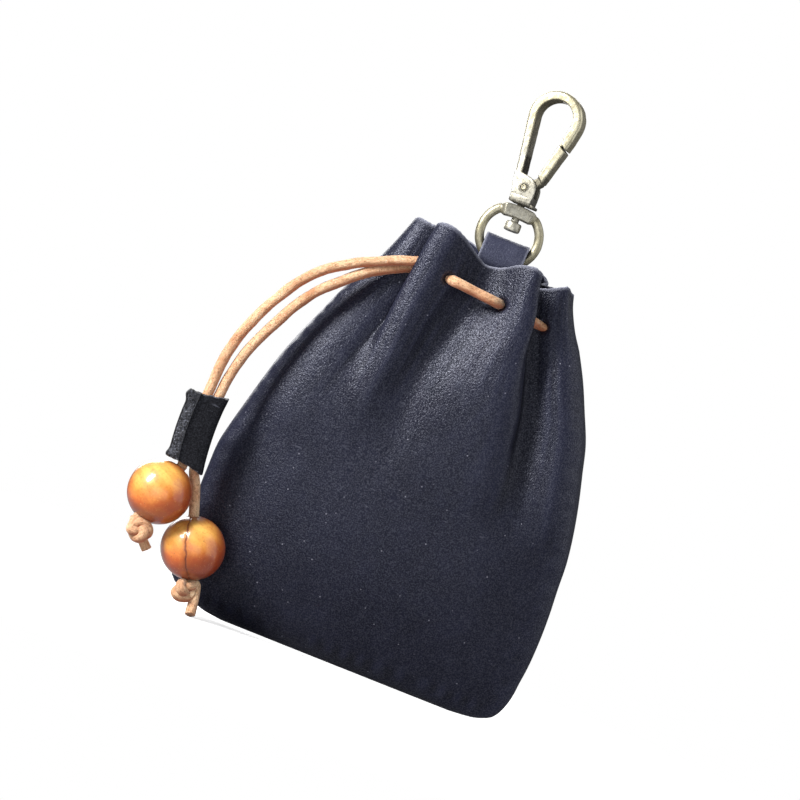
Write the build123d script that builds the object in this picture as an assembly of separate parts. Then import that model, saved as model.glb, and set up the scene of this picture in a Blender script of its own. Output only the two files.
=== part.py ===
# Drawstring dice bag: two gathered leather panels, a strap loop, a swivel snap hook,
# one cord drawn round the neck, a leather cord slide and two wooden beads.
# Millimetres, +Z up. The bag hangs upright, its front faces -Y and its left is -X.
# The pieces are laid out with the bottom seam at z = 0, then moved on export so that
# the origin is the centre of the hook's eye.
from build123d import *
from math import sin, cos, pi, radians, hypot, sqrt
import os

os.makedirs("parts", exist_ok=True)

# ------------------------------------------------------------------ shared dimensions
LEATHER_T = 1.3
PANEL_GAP = 0.02        # gap between the two panels at the seam
CORD_R = 1.5
SWIVEL_X = 0.75         # x of the upright swivel axis
FRONT, BACK = -1, 1     # sign of y on each side of the bag


# ------------------------------------------------------------------ curve helpers
def table(rows, z):
    """Smooth value at z of a table of (z, value), held constant beyond its ends."""
    last = len(rows) - 1
    if z <= rows[0][0]:
        return rows[0][1]
    if z >= rows[-1][0]:
        return rows[-1][1]
    i = max(k for k in range(last) if rows[k][0] <= z)

    def slope(k):
        below, above = rows[max(k - 1, 0)], rows[min(k + 1, last)]
        return (above[1] - below[1]) / (above[0] - below[0])

    z0, value0 = rows[i]
    z1, value1 = rows[i + 1]
    step = z1 - z0
    t = (z - z0) / step
    return ((2 * t ** 3 - 3 * t * t + 1) * value0
            + (t ** 3 - 2 * t * t + t) * step * slope(i)
            + (-2 * t ** 3 + 3 * t * t) * value1
            + (t ** 3 - t * t) * step * slope(i + 1))


def smooth(start, end, x):
    """Smooth step from 0 at start to 1 at end."""
    t = min(max((x - start) / (end - start), 0), 1)
    return t * t * (3 - 2 * t)


def catmull_rom(points, per_span=24):
    """Catmull-Rom curve through points, densely sampled."""
    before = tuple(2 * a - b for a, b in zip(points[0], points[1]))
    after = tuple(2 * a - b for a, b in zip(points[-1], points[-2]))
    ctrl = [before] + list(points) + [after]
    curve = []
    for span in zip(ctrl, ctrl[1:], ctrl[2:], ctrl[3:]):
        for j in range(per_span):
            t = j / per_span
            curve.append(tuple(
                0.5 * (2 * b + (c - a) * t + (2 * a - 5 * b + 4 * c - d) * t * t
                       + (3 * b - a - 3 * c + d) * t ** 3)
                for a, b, c, d in zip(*span)))
    curve.append(tuple(points[-1]))
    return curve


def resample(points, count):
    """count points at equal arc length along a 2D polyline."""
    run = [0.0]
    for a, b in zip(points, points[1:]):
        run.append(run[-1] + hypot(b[0] - a[0], b[1] - a[1]))
    out, j = [], 0
    for i in range(count):
        want = run[-1] * i / (count - 1)
        while j < len(points) - 2 and run[j + 1] < want:
            j += 1
        f = 0 if run[j + 1] == run[j] else (want - run[j]) / (run[j + 1] - run[j])
        f = min(max(f, 0), 1)
        out.append(tuple(a + f * (b - a) for a, b in zip(points[j], points[j + 1])))
    return out


def left_normal(points, i, reach=1):
    """Unit normal to the left of a 2D polyline at point i."""
    x0, y0 = points[max(i - reach, 0)]
    x1, y1 = points[min(i + reach, len(points) - 1)]
    length = hypot(x1 - x0, y1 - y0)
    return -(y1 - y0) / length, (x1 - x0) / length


# ------------------------------------------------------------------ solid helpers
def tube(points, radius):
    path = Edge.make_spline([Vector(*p) for p in points])
    return sweep(Plane(origin=path @ 0, z_dir=path % 0) * Circle(radius), path=path)


def rod(start, end, radius):
    start, end = Vector(*start), Vector(*end)
    base = Plane(origin=start, z_dir=end - start)
    return Part(Solid.make_cylinder(radius, (end - start).length, base).wrapped)


def ball(centre, radius):
    return Pos(*centre) * Sphere(radius)


def lines(points):
    """Straight edges through 2D points."""
    return [Edge.make_line(Vector(*a), Vector(*b)) for a, b in zip(points, points[1:])]


def arc(start, middle, end):
    """Circular edge through three 2D points."""
    return Edge.make_three_point_arc(Vector(*start), Vector(*middle), Vector(*end))


def xz_polygon(points):
    return Plane.XZ * make_face(Polyline(*points, close=True))


# ------------------------------------------------------------------ shape of the bag
# (z, x) of the right and left seams
RIGHT = [
    (0, 37), (1.2, 41.5), (2, 43.8), (4, 46.0), (6, 47.1), (10, 48.5), (14, 48.9), (18, 49.4),
    (26, 49.8), (34, 49.7), (42, 49.2), (50, 48.8), (58, 47.6), (66, 45.9), (74, 43.8),
    (82, 41.6), (90, 38.1), (98, 34.4), (106, 30.0), (114, 25.5), (118, 23.1), (126, 20.5)]
LEFT = [
    (0, -37), (1.2, -41.0), (2, -43.5), (4, -47.3), (7, -50.0), (12, -51.6), (20, -52.4),
    (30, -52.8), (38, -52.8), (46, -52.5), (50, -51.7), (58, -49.8), (66, -47.8), (74, -45.6),
    (82, -42.7), (90, -39.4), (98, -36.1), (106, -31.9), (114, -28.2), (118, -26.5),
    (126, -23.5)]
# (z, half depth) of the bag
DEPTH = [
    (0, 1.3), (1.2, 2.6), (2, 3.2), (4, 4.4), (8, 6.2), (15, 8.4), (24, 10.6), (34, 12.2),
    (44, 13.0), (56, 13.3), (68, 13.2), (80, 12.9), (92, 12.6), (104, 12.4), (126, 12.6)]
# (x, y) of each panel's folds at the gathered neck, from the left seam to the right seam
NECK = {
    FRONT: [(-29.8, 0), (-28.8, -3.8), (-25.5, -6.4), (-21.5, -6.2), (-15.5, -13.0),
            (-8.8, -10.0), (-1.5, -6.2), (4.6, -9.8), (10.3, -13.0), (17.6, -5.8),
            (22.5, -7.2), (26.6, -4.2), (27.8, 0)],
    BACK: [(-29.8, 0), (-28.6, 4.0), (-24.5, 6.6), (-19.5, 5.6), (-12.5, 12.6), (-5.0, 9.6),
           (1.3, 7.05), (7.4, 9.5), (13.5, 12.6), (18.5, 5.6), (23.0, 6.6), (26.6, 4.0),
           (27.8, 0)]}
# (x, z) of each panel's top edge
MOUTH = {
    FRONT: [(-40, 121.5), (-24.5, 122.5), (-18.3, 121.7), (-17.2, 123.3), (-13.3, 123.0),
            (-5.6, 118.8), (-2.5, 117.2), (1.8, 118.0), (5.1, 119.9), (8.1, 120.9),
            (10.7, 120.95), (12.7, 119.9), (15.0, 117.2), (21.2, 120.1), (23.1, 118.6),
            (40, 118)],
    BACK: [(-40, 121.5), (-17, 123.2), (-11, 123.1), (-7, 121.5), (0, 120.5), (4, 120.6),
           (9.1, 121.6), (11.6, 122.1), (14.3, 121.3), (18, 119.5), (22, 119.4), (40, 118)]}
# heights of the loft sections
LEVELS = [0, 1.2, 4, 9, 16, 26, 38, 50, 62, 70, 78, 86, 94, 102, 110, 118, 126]

SECTION_POINTS = 41
BODY_ROUNDNESS = 0.8     # power of the sine that shapes the ungathered section
GATHER_Z = (62, 105)     # the plain section turns into the neck's folds between these
OFFSET_Z = (16, 40)      # the inner line turns from a scaled one into a true offset
MIN_HALF_DEPTH = 0.06    # of the scaled inner line
NECK_LINES = {side: resample(catmull_rom(NECK[side]), SECTION_POINTS) for side in NECK}
NECK_LEFT, NECK_RIGHT = NECK[FRONT][0][0], NECK[FRONT][-1][0]
NECK_HALF_W = (NECK_RIGHT - NECK_LEFT) / 2
NECK_CENTRE_X = (NECK_RIGHT + NECK_LEFT) / 2

SEAM_TOP = 101.0         # height at which the side seams end
SEAM_INSETS = (0.55, 5.0)  # the turned seam's band lies between these insets


# ------------------------------------------------------------------ bag panels
def section(side, z):
    """Outer and inner line of a panel at height z, both from left to right."""
    left, right, depth = table(LEFT, z), table(RIGHT, z), table(DEPTH, z)
    centre, half_w = (left + right) / 2, (right - left) / 2
    seam_y = side * PANEL_GAP / 2
    body = resample([(centre - half_w * cos(pi * i / 200),
                      side * depth * sin(pi * i / 200) ** BODY_ROUNDNESS)
                     for i in range(201)], SECTION_POINTS)
    gather = smooth(*GATHER_Z, z)
    offset = smooth(*OFFSET_Z, z)
    neck_scale = half_w / NECK_HALF_W
    line = [((1 - gather) * body_x + gather * (centre + (x - NECK_CENTRE_X) * neck_scale),
             (1 - gather) * body_y + gather * y)
            for (body_x, body_y), (x, y) in zip(body, NECK_LINES[side])]
    depth_scale = max(depth - LEATHER_T + MIN_HALF_DEPTH, MIN_HALF_DEPTH) / depth
    outer, inner = [], []
    for i, (x, y) in enumerate(line):
        if i in (0, SECTION_POINTS - 1):
            inward = 1 if i == 0 else -1
            outer.append((x, seam_y))
            inner.append((x + inward * LEATHER_T, seam_y))
            continue
        normal_x, normal_y = left_normal(line, i)
        offset_x = x - side * normal_x * LEATHER_T
        offset_y = y - side * normal_y * LEATHER_T
        scaled_x = centre + (x - centre) * (half_w - LEATHER_T) / half_w
        scaled_y = y * depth_scale
        inner_x = offset_x * offset + scaled_x * (1 - offset)
        inner_y = offset_y * offset + scaled_y * (1 - offset)
        # keep the inner line on its own side of the seam plane
        inner.append((inner_x, side * max(side * inner_y, PANEL_GAP / 2 + 0.01)))
        outer.append((x, y))
    return outer, inner


def make_shell(side):
    """Lofted leather of one panel, cut to its mouth edge."""
    wires = []
    for z in LEVELS:
        outer, inner = section(side, z)
        outer = [Vector(x, y, z) for x, y in outer]
        inner = [Vector(x, y, z) for x, y in inner][::-1]
        wires.append(Wire([Edge.make_spline(outer), Edge.make_line(outer[-1], inner[0]),
                           Edge.make_spline(inner), Edge.make_line(inner[-1], outer[0])]))
    shell = Part(Solid.make_loft(wires, False).wrapped)
    above_mouth = xz_polygon(MOUTH[side] + [(40, 140), (-40, 140)])
    return shell - extrude(above_mouth, 40, both=True)


def seam_outline(inset, top):
    """(x, z) of the seam line moved inwards, top left round the bottom to top right."""
    rise = [i * (top - 2) / 30 for i in range(31)]
    raw = [(table(LEFT, top - dz), top - dz) for dz in rise]
    raw += [(x, 0.0) for x in (-38, -30, -20, -10, 0, 10, 20, 30, 38)]
    raw += [(table(RIGHT, 2 + dz), 2 + dz) for dz in rise]
    raw = resample(raw, 90)
    out = []
    for i, (x, z) in enumerate(raw):
        normal_x, normal_z = left_normal(raw, i, reach=2)
        out.append((x + normal_x * inset, z + normal_z * inset))
    return out


def make_allowance(side):
    """Turned seam allowance: a flat band of the panel just inside its edge."""
    near, far = (seam_outline(inset, SEAM_TOP) for inset in SEAM_INSETS)
    band = extrude(xz_polygon(near + far[::-1]), amount=-side * LEATHER_T)
    return band.translate((0, side * PANEL_GAP / 2, 0))


# ------------------------------------------------------------------ cord round the neck
CORD_HOLE_R = 1.62       # radius of the neck run's way through the leather
# (x, y) from the front left, along the front to the right, and back round to the left
NECK_PATH = [
    (-13.2, -9.5), (-10.5, -9.3), (-6, -8.6), (-1.5, -8.1), (3.4, -8.6), (7.2, -9.5),
    (10.3, -9.9), (13.6, -8.9), (17.4, -7.6), (20.6, -5.9), (23.2, -3.7), (24.6, -1.0),
    (24.5, 1.6), (22.8, 4.4), (19.2, 7.0), (15.8, 8.9), (11.5, 9.3), (6, 8.9), (1.3, 8.75),
    (-4, 8.9), (-10.5, 9.3), (-15.6, 8.8), (-19.6, 7.2), (-23.6, 4.6), (-26.0, 1.8),
    (-26.3, -1.0), (-24.6, -3.2)]


def neck_tube(radius):
    """Tube along the gather, which falls slightly towards the right."""
    return tube([(x, y, 109.0 - 0.087 * x) for x, y in NECK_PATH], radius)


# ------------------------------------------------------------------ hanging strands
# Strands, slide and tails are laid out as (across, behind, z) from an upright plane.
HANG_ORIGIN = (-21.3, -9.0)   # (x, y) of that plane's zero line
HANG_TURN = radians(11.5)     # its turn from the bag's front plane
ACROSS = (cos(HANG_TURN), sin(HANG_TURN), 0)
FORWARD = (sin(HANG_TURN), -cos(HANG_TURN), 0)
ARC_ACROSS, ARC_Z = 37.9, 50.0   # centre of the strands' curve in the plane
STRAND_B_R = 73.7                # radius of the inner strand
STRAND_GAP = 3.15                # between strand centrelines inside the slide
STRAND_SPREAD = 0.95             # extra gap reached above the slide
STRAND_ANGLES = (-8.8, -4, 0, 4, 8, 12, 17, 22, 27, 32, 36)
# upper ends of the strands, running in to the neck
STRAND_A_TOP = [(-15.9, 0, 103.0), (-8.3, 0, 108.0), (0, 0, 111.7), (5.5, 0, 114.1)]
STRAND_B_TOP = [(-15.4, 0, 98.3), (-8.3, 0, 104.1), (-0.2, 0, 108.05), (5.6, 0, 110.5)]
STRAND_HOLE_R = 1.75
HOLE_SLOPE = radians(23)         # rise of the strand holes
HOLE_BEFORE, HOLE_BEYOND = 11, 2  # reach of each hole either side of the strand's end


def hang(point):
    """World place of an (across, behind, z) point."""
    across, behind, z = point
    return (HANG_ORIGIN[0] + across * cos(HANG_TURN) - behind * sin(HANG_TURN),
            HANG_ORIGIN[1] + across * sin(HANG_TURN) + behind * cos(HANG_TURN), z)


def arc_offset(radius, angle):
    """(across, up) from the arc's centre; degrees up from the -across direction."""
    return -radius * cos(radians(angle)), radius * sin(radians(angle))


def arc_point(radius, angle):
    across, up = arc_offset(radius, angle)
    return ARC_ACROSS + across, 0, ARC_Z + up


def strand_a_point(angle):
    spread = STRAND_SPREAD * smooth(6, 24, angle)
    return arc_point(STRAND_B_R + STRAND_GAP + spread, angle)


STRAND_A = [strand_a_point(a) for a in STRAND_ANGLES + (40,)] + STRAND_A_TOP
STRAND_B = [arc_point(STRAND_B_R, a) for a in STRAND_ANGLES] + STRAND_B_TOP


def make_strand(points):
    return tube([hang(p) for p in points], CORD_R)


def strand_hole(points):
    """Cutter for a strand's hole in the front panel."""
    across, _, z = points[-1]
    start, end = ((across + reach * cos(HOLE_SLOPE), 0, z + reach * sin(HOLE_SLOPE))
                  for reach in (-HOLE_BEFORE, HOLE_BEYOND))
    return rod(hang(start), hang(end), STRAND_HOLE_R)


def make_panel(side):
    panel = make_shell(side) + make_allowance(side) - neck_tube(CORD_HOLE_R)
    if side == FRONT:
        panel = panel - strand_hole(STRAND_A) - strand_hole(STRAND_B)
    return panel


# ------------------------------------------------------------------ hanging strap
STRAP_X = (-5.15, 7.25)   # edges of the strap
# (y, z) of its centreline, up the back, over the ring and down again
STRAP_LINE = [
    (5.03, 98.6), (5.03, 103), (5.0, 107.5), (4.35, 113), (3.68, 118.6), (3.68, 122.4),
    (2.9, 124.65), (1.5, 125.5), (0, 125.68), (-1.5, 125.5), (-2.9, 124.65), (-3.68, 122.4),
    (-3.68, 118.6), (-2.2, 114.8), (1.2, 109.8), (3.2, 106.6), (3.55, 103), (3.55, 98.6)]


def make_hanging_loop():
    line = catmull_rom(STRAP_LINE, 6)
    half_t = LEATHER_T / 2
    left, right = [], []
    for i, (y, z) in enumerate(line):
        normal_y, normal_z = left_normal(line, i)
        left.append((y + normal_y * half_t, z + normal_z * half_t))
        right.append((y - normal_y * half_t, z - normal_z * half_t))
    face = Plane.YZ * make_face(Polyline(*(left + right[::-1]), close=True))
    return extrude(face, STRAP_X[1] - STRAP_X[0]).translate((STRAP_X[0], 0, 0))


# ------------------------------------------------------------------ stitching
THREAD_R = 0.3
SEAM_THREAD_INSET = 3.0
SEAM_THREAD_Y = LEATHER_T + 0.2      # thread's distance either side of the seam plane
BOX_X = (-2.8, 5.4)                  # box of stitches on the strap
BOX_Z = (99.8, 106.4)
BOX_THREAD_Y = (2.95, 7.9)


def stitches(points, y_front, y_back):
    """Running stitch along (x, z) points, crossing the leather at each point."""
    bits = []
    for i, ((x0, z0), (x1, z1)) in enumerate(zip(points, points[1:])):
        y = y_front if i % 2 == 0 else y_back
        front, back = (x1, y_front, z1), (x1, y_back, z1)
        bits += [rod((x0, y, z0), (x1, y, z1), THREAD_R), ball(front, THREAD_R),
                 ball(back, THREAD_R), rod(front, back, THREAD_R)]
    return bits[0] + bits[1:]


def make_seam_thread():
    line = resample(seam_outline(SEAM_THREAD_INSET, SEAM_TOP - 1.5), 55)
    return stitches(line, -SEAM_THREAD_Y, SEAM_THREAD_Y)


def make_loop_stitching():
    (x0, x1), (z0, z1) = BOX_X, BOX_Z
    third, two_thirds = (x0 * 2 + x1) / 3, (x0 + x1 * 2) / 3
    z_mid = (z0 + z1) / 2
    # the last stitch stops short of the first point
    points = [(x0, z0), (third, z0), (two_thirds, z0), (x1, z0), (x1, z_mid), (x1, z1),
              (two_thirds, z1), (third, z1), (x0, z1), (x0, z_mid), (x0, z0 + 0.7)]
    return stitches(points, *BOX_THREAD_Y)


# ------------------------------------------------------------------ cord slide
SLIDE_ANGLES = (-9.0, 5.36)   # its lower and upper ends on the strands' curve
SLOT_HALF = 1.6               # slot's room around a strand's centreline
SLOT_SPAN = 4.1               # between the centres of the slot's two ends
SLIDE_OUTER_WALL = 1.35
SLIDE_EDGE_R = 1.1


def arc_band(r0, r1, a0, a1, half_t):
    """Curved bar in the strands' plane between two radii and two angles."""
    middle = (a0 + a1) / 2
    outline = Wire([
        arc(*(arc_offset(r1, a) for a in (a0, middle, a1))),
        *lines([arc_offset(r1, a1), arc_offset(r0, a1)]),
        arc(*(arc_offset(r0, a) for a in (a1, middle, a0))),
        *lines([arc_offset(r0, a0), arc_offset(r1, a0)])])
    plane = Plane(origin=hang((ARC_ACROSS, 0, ARC_Z)), x_dir=ACROSS, z_dir=FORWARD)
    return extrude(plane * Face(outline), half_t, both=True)


def make_cord_slide():
    r0, r1 = STRAND_B_R - SLOT_HALF, STRAND_B_R + SLOT_SPAN + SLOT_HALF
    low, high = SLIDE_ANGLES
    slide = arc_band(r0 - LEATHER_T, r1 + SLIDE_OUTER_WALL, low, high, SLOT_HALF + LEATHER_T)
    long_edges = slide.edges().filter_by(lambda e: e.geom_type == GeomType.CIRCLE)
    slide = fillet(long_edges, SLIDE_EDGE_R)
    return slide - arc_band(r0, r1, low - 3, high + 3, SLOT_HALF)


# ------------------------------------------------------------------ tails, knots and beads
# all points are (across, behind, z)
TAIL_ANGLE = -10.1            # where the tails start on the strands' curve
TAIL_A_TOP = arc_point(STRAND_B_R + STRAND_GAP, TAIL_ANGLE)
TAIL_B_TOP = arc_point(STRAND_B_R, TAIL_ANGLE)
TAIL_B_BEND = [(-33.9, 0.75, 35.1), (-32.65, 1.3, 33.0), (-31.25, 1.42, 29.2)]
BEAD_A, BEAD_B = Vector(-41.15, -1.2, 27.5), Vector(-26.75, 0.64, 16.45)
BEAD_A_DIR = (BEAD_A - Vector(*TAIL_A_TOP)).normalized()
BEAD_B_DIR = (BEAD_B - Vector(-29.95, 1.3, 25.3)).normalized()
BEAD_ENTRY, BEAD_EXIT = 9.4, 9.3   # the cord bends this far above and below a bead's centre
KNOT_A, KNOT_A_R, TIP_A = (-42.75, -1.9, 16.1), 2.6, (-38.7, -2.3, 12.4)
KNOT_B, KNOT_B_R, TIP_B = (-23.6, 0.2, 5.2), 2.65, (-21.2, -0.1, 0.9)
BEAD_R = 8.8
BEAD_BORE_R = 1.6
BEAD_RIM_R = 0.45


def finish_tail(tail, leave, knot, knot_r, tip):
    """Add the cord below the bead: to the knot, the knot itself and the loose tip."""
    leave, knot, tip = hang(leave), hang(knot), hang(tip)
    return (tail + ball(leave, CORD_R) + rod(leave, knot, CORD_R - 0.1)
            + ball(knot, knot_r) + rod(knot, tip, CORD_R))


def make_tail_a():
    """Straight from the slide through the bead."""
    top = hang(TAIL_A_TOP)
    leave = BEAD_A + BEAD_A_DIR * BEAD_EXIT
    tail = rod(top, hang(leave), CORD_R) + ball(top, CORD_R)
    return finish_tail(tail, leave, KNOT_A, KNOT_A_R, TIP_A)


def make_tail_b():
    """Curved from the slide to the bead, then straight through it."""
    enter = BEAD_B - BEAD_B_DIR * BEAD_ENTRY
    leave = BEAD_B + BEAD_B_DIR * BEAD_EXIT
    tail = (tube([hang(p) for p in [TAIL_B_TOP, *TAIL_B_BEND, enter]], CORD_R)
            + ball(hang(TAIL_B_TOP), CORD_R) + ball(hang(enter), CORD_R)
            + rod(hang(enter), hang(leave), CORD_R))
    return finish_tail(tail, leave, KNOT_B, KNOT_B_R, TIP_B)


def make_bead(centre, direction):
    """Round bead with a bore along direction and rounded rims."""
    rim_x = BEAD_BORE_R + BEAD_RIM_R
    rim_y = sqrt((BEAD_R - BEAD_RIM_R) ** 2 - rim_x ** 2)   # rim fillet's centre
    reach = BEAD_R / (BEAD_R - BEAD_RIM_R)
    touch_x, touch_y = rim_x * reach, rim_y * reach         # fillet meets the sphere
    mid_x = rim_x - BEAD_RIM_R * cos(radians(45))
    mid_y = rim_y + BEAD_RIM_R * sin(radians(45))
    outline = Wire([
        arc((touch_x, touch_y), (BEAD_R, 0), (touch_x, -touch_y)),
        arc((touch_x, -touch_y), (mid_x, -mid_y), (BEAD_BORE_R, -rim_y)),
        *lines([(BEAD_BORE_R, -rim_y), (BEAD_BORE_R, rim_y)]),
        arc((BEAD_BORE_R, rim_y), (mid_x, mid_y), (touch_x, touch_y))])
    bead = revolve(Face(outline), Axis.Y)
    bore_dir = Vector(*hang(direction)) - Vector(*hang((0, 0, 0)))
    return Plane(origin=hang(centre), z_dir=bore_dir) * (Rot(90, 0, 0) * bead)


# ------------------------------------------------------------------ swivel ring and post
RING_R = 8.2              # centreline radius
RING_WIRE_R = 1.3
RING_X, RING_Z = 0.85, 127.4
RING_OPENING = 33.0       # half angle of the gap at the top, in degrees
BOSS_Z = 133.75
BOSS_SIZE = (10.2, 4.5, 3.5)
BOSS_BORE_R = 1.15
POST_R = 1.1


def ring_point(angle):
    """Point of the ring's centreline, in degrees from its top."""
    a = radians(angle)
    return RING_X + RING_R * sin(a), 0, RING_Z + RING_R * cos(a)


def make_swivel_ring():
    path = arc(*(ring_point(a) for a in (RING_OPENING, 180, -RING_OPENING)))
    wire = sweep(Plane(origin=path @ 0, z_dir=path % 0) * Circle(RING_WIRE_R), path=path)
    boss = Pos(SWIVEL_X, 0, BOSS_Z) * Box(*BOSS_SIZE)
    boss = fillet(boss.edges().filter_by(Axis.Y), 1.0)
    by_y = boss.edges().group_by(Axis.Y)
    boss = fillet(by_y[0] + by_y[-1], 0.45)
    return wire + boss - Pos(SWIVEL_X, 0, BOSS_Z) * Cylinder(BOSS_BORE_R, 8)


def make_post():
    """Shank with a round head at its lower end."""
    post = Pos(0, 0, 134.0) * Cylinder(POST_R, 8.4) + Pos(0, 0, 129.85) * Cylinder(2.3, 1.9)
    return fillet(post.edges().group_by(Axis.Z)[0], 0.5)


# ------------------------------------------------------------------ snap hook
# laid out as (across, up) about the swivel axis, then turned on it
HOOK_TURN = -18.0
HOOK_T = 4.2              # thickness of the curved bar
CROWN = (0.55, 161.2)     # centre of the hook's eye
CROWN_R, EYE_R = 7.75, 5.2
CROWN_LEFT = 184          # angle at which both arcs start
OUTER_RIGHT, INNER_RIGHT = -13, -16
PIN = (-0.3, 141.2)
PIN_R = 0.75
EAR_HALF_T = 3.0
EAR_GAP_HALF = 1.85
HEAD_R, HEAD_T = 1.15, 0.3
DIMPLE_R, DIMPLE_DEPTH = 0.5, 0.35
LUG_T = 3.5               # gate's thickness between the ears
COIL_R, COIL_LENGTH = 1.15, 1.15
SPRING_WIRE_R, SPRING_LEG = 0.2, 1.6

EAR = [(-3.25, 138.8), (3.2, 138.8), (3.15, 140.6), (2.75, 142.6), (1.9, 143.8),
       (0.8, 144.45), (-0.6, 144.6), (-2.0, 144.9), (-4.45, 144.9), (-3.95, 141.6),
       (-3.3, 139.6)]
GATE = [(-1.3, 142.3), (0.6, 143.75), (2.0, 144.9), (4.45, 155.4), (4.7, 157.1),
        (5.06, 157.1), (4.98, 155.42), (6.72, 154.12), (3.75, 143.2), (1.3, 140.5),
        (0.4, 139.75)]


def crown_point(radius, angle):
    a = radians(angle)
    return CROWN[0] + radius * cos(a), CROWN[1] + radius * sin(a)


def pin_disc(radius):
    return Plane.XZ * (Pos(*PIN) * Circle(radius))


def make_frame_bar():
    """Upright on the left, the crown, and the nose that meets the gate."""
    outer = [crown_point(CROWN_R, a) for a in (CROWN_LEFT, 90, OUTER_RIGHT)]
    inner = [crown_point(EYE_R, a) for a in (INNER_RIGHT, 90, CROWN_LEFT)]
    profile = Wire([
        *lines([(-3.2, 138.6), (-3.3, 139.6), (-3.97, 141.6), outer[0]]),
        arc(*outer),
        *lines([outer[-1], (6.8, 154.35), (5.17, 155.55), (5.25, 157.45), (4.95, 157.6),
                inner[0]]),
        arc(*inner),
        *lines([inner[-1], (-2.2, 144.2), (-2.2, 138.6), (-3.2, 138.6)])])
    bar = extrude(Plane.XZ * Face(profile), HOOK_T / 2, both=True)
    # only the crown's outer arcs are long enough to be picked
    curved = bar.edges().filter_by(
        lambda e: e.geom_type == GeomType.CIRCLE and e.length > 2.2 * CROWN_R)
    return fillet(curved, 0.9)


def make_hook_body():
    base = Pos(0, 0, 137.9) * Box(6.4, 6.0, 2.6)
    base = fillet(base.edges().filter_by(Axis.Z), 0.7)
    foot = Pos(2.4, 0, 136.9) * Box(2.6, 5.0, 0.8)
    ear = xz_polygon(EAR)
    ears = extrude(ear, EAR_HALF_T, both=True) - extrude(ear, EAR_GAP_HALF, both=True)
    body = make_frame_bar() + base + foot + ears
    pin_hole = extrude(pin_disc(PIN_R), 6, both=True)
    return body - pin_hole - Pos(0, 0, 137.0) * Cylinder(POST_R, 6)


def make_gate_pin():
    """Rivet with a thin dimpled head on each ear."""
    pin = extrude(pin_disc(PIN_R), EAR_HALF_T, both=True)
    head_y = EAR_HALF_T + HEAD_T
    for side in (FRONT, BACK):
        # extrusions run towards -Y from the place they are moved to
        start_y = head_y if side == BACK else -EAR_HALF_T
        pin = pin + extrude(pin_disc(HEAD_R), HEAD_T).translate((0, start_y, 0))
        dimple = extrude(pin_disc(DIMPLE_R), 2 * DIMPLE_DEPTH)
        pin = pin - dimple.translate((0, side * head_y + DIMPLE_DEPTH, 0))
    return pin


def make_gate():
    arm = extrude(xz_polygon(GATE), 2.05, both=True)
    lug = extrude(pin_disc(1.62), LUG_T / 2, both=True)
    # thins the lower part of the gate to the lug
    trim = Pos(0, 0, 141.0) * Box(12, 10, 7.9) - Pos(0, 0, 141.0) * Box(12.2, LUG_T, 8.2)
    gate = arm + lug - trim
    gate = gate - extrude(pin_disc(PIN_R + 0.05), 6, both=True)
    # slots for the spring's coil and its leg
    coil_slot = Pos(PIN[0] - 0.2, 0, PIN[1]) * Box(4.6, 1.7, 3.6)
    leg_slot = Pos(0.6, 0, 143.0) * Box(4.2, 1.2, 2.2)
    return gate - coil_slot - leg_slot


def make_spring():
    """Coil round the pin with a straight leg at each end."""
    helix = Edge.make_helix(pitch=0.5, height=COIL_LENGTH, radius=COIL_R,
                            center=(PIN[0], COIL_LENGTH / 2, PIN[1]), normal=(0, -1, 0))
    spring = sweep(Plane(origin=helix @ 0, z_dir=helix % 0) * Circle(SPRING_WIRE_R),
                   path=helix)
    legs = []
    for end, outward in ((0, -1), (1, 1)):
        tip = helix @ end + (helix % end).normalized() * (outward * SPRING_LEG)
        legs.append(rod(helix @ end, tip, SPRING_WIRE_R))
    return spring + legs[0] + legs[1]


# ------------------------------------------------------------------ write the parts
hook_place = Location((SWIVEL_X, 0, 0), (0, 0, HOOK_TURN))
turn = radians(HOOK_TURN)
eye = (SWIVEL_X + CROWN[0] * cos(turn), CROWN[0] * sin(turn), CROWN[1])

parts = {
    "front_panel": make_panel(FRONT),
    "back_panel": make_panel(BACK),
    "side_seam_thread": make_seam_thread(),
    "hanging_loop": make_hanging_loop(),
    "loop_stitching": make_loop_stitching(),
    "drawstring_neck_run": neck_tube(CORD_R),
    "drawstring_strand_a": make_strand(STRAND_A),
    "drawstring_strand_b": make_strand(STRAND_B),
    "cord_slide": make_cord_slide(),
    "cord_tail_a": make_tail_a(),
    "cord_tail_b": make_tail_b(),
    "wood_bead_a": make_bead(BEAD_A, BEAD_A_DIR),
    "wood_bead_b": make_bead(BEAD_B, BEAD_B_DIR),
    "swivel_ring": make_swivel_ring(),
    "swivel_post": hook_place * make_post(),
    "hook_body": hook_place * make_hook_body(),
    "hook_gate": hook_place * make_gate(),
    "gate_pin": hook_place * make_gate_pin(),
    "gate_spring": hook_place * make_spring(),
}
for name, shape in parts.items():
    moved = shape.translate((-eye[0], -eye[1], -eye[2]))
    export_step(moved, os.path.join("parts", name + ".step"))
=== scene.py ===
"""Navy leather drawstring bag with a hanging strap and cast brass hook, cord slide and wooden beads.

Shapes are laid out in millimetres on the bag's own grid: bottom seam at z = 0, middle near
x = 0, front towards -Y. to_metres moves them to the product frame, whose origin is the
centre of the hook's eye. The two cord strands hang at the bag's left (-X).
"""

import bpy
import bmesh
import math
import numpy as np
from mathutils import Matrix, Vector


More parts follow.
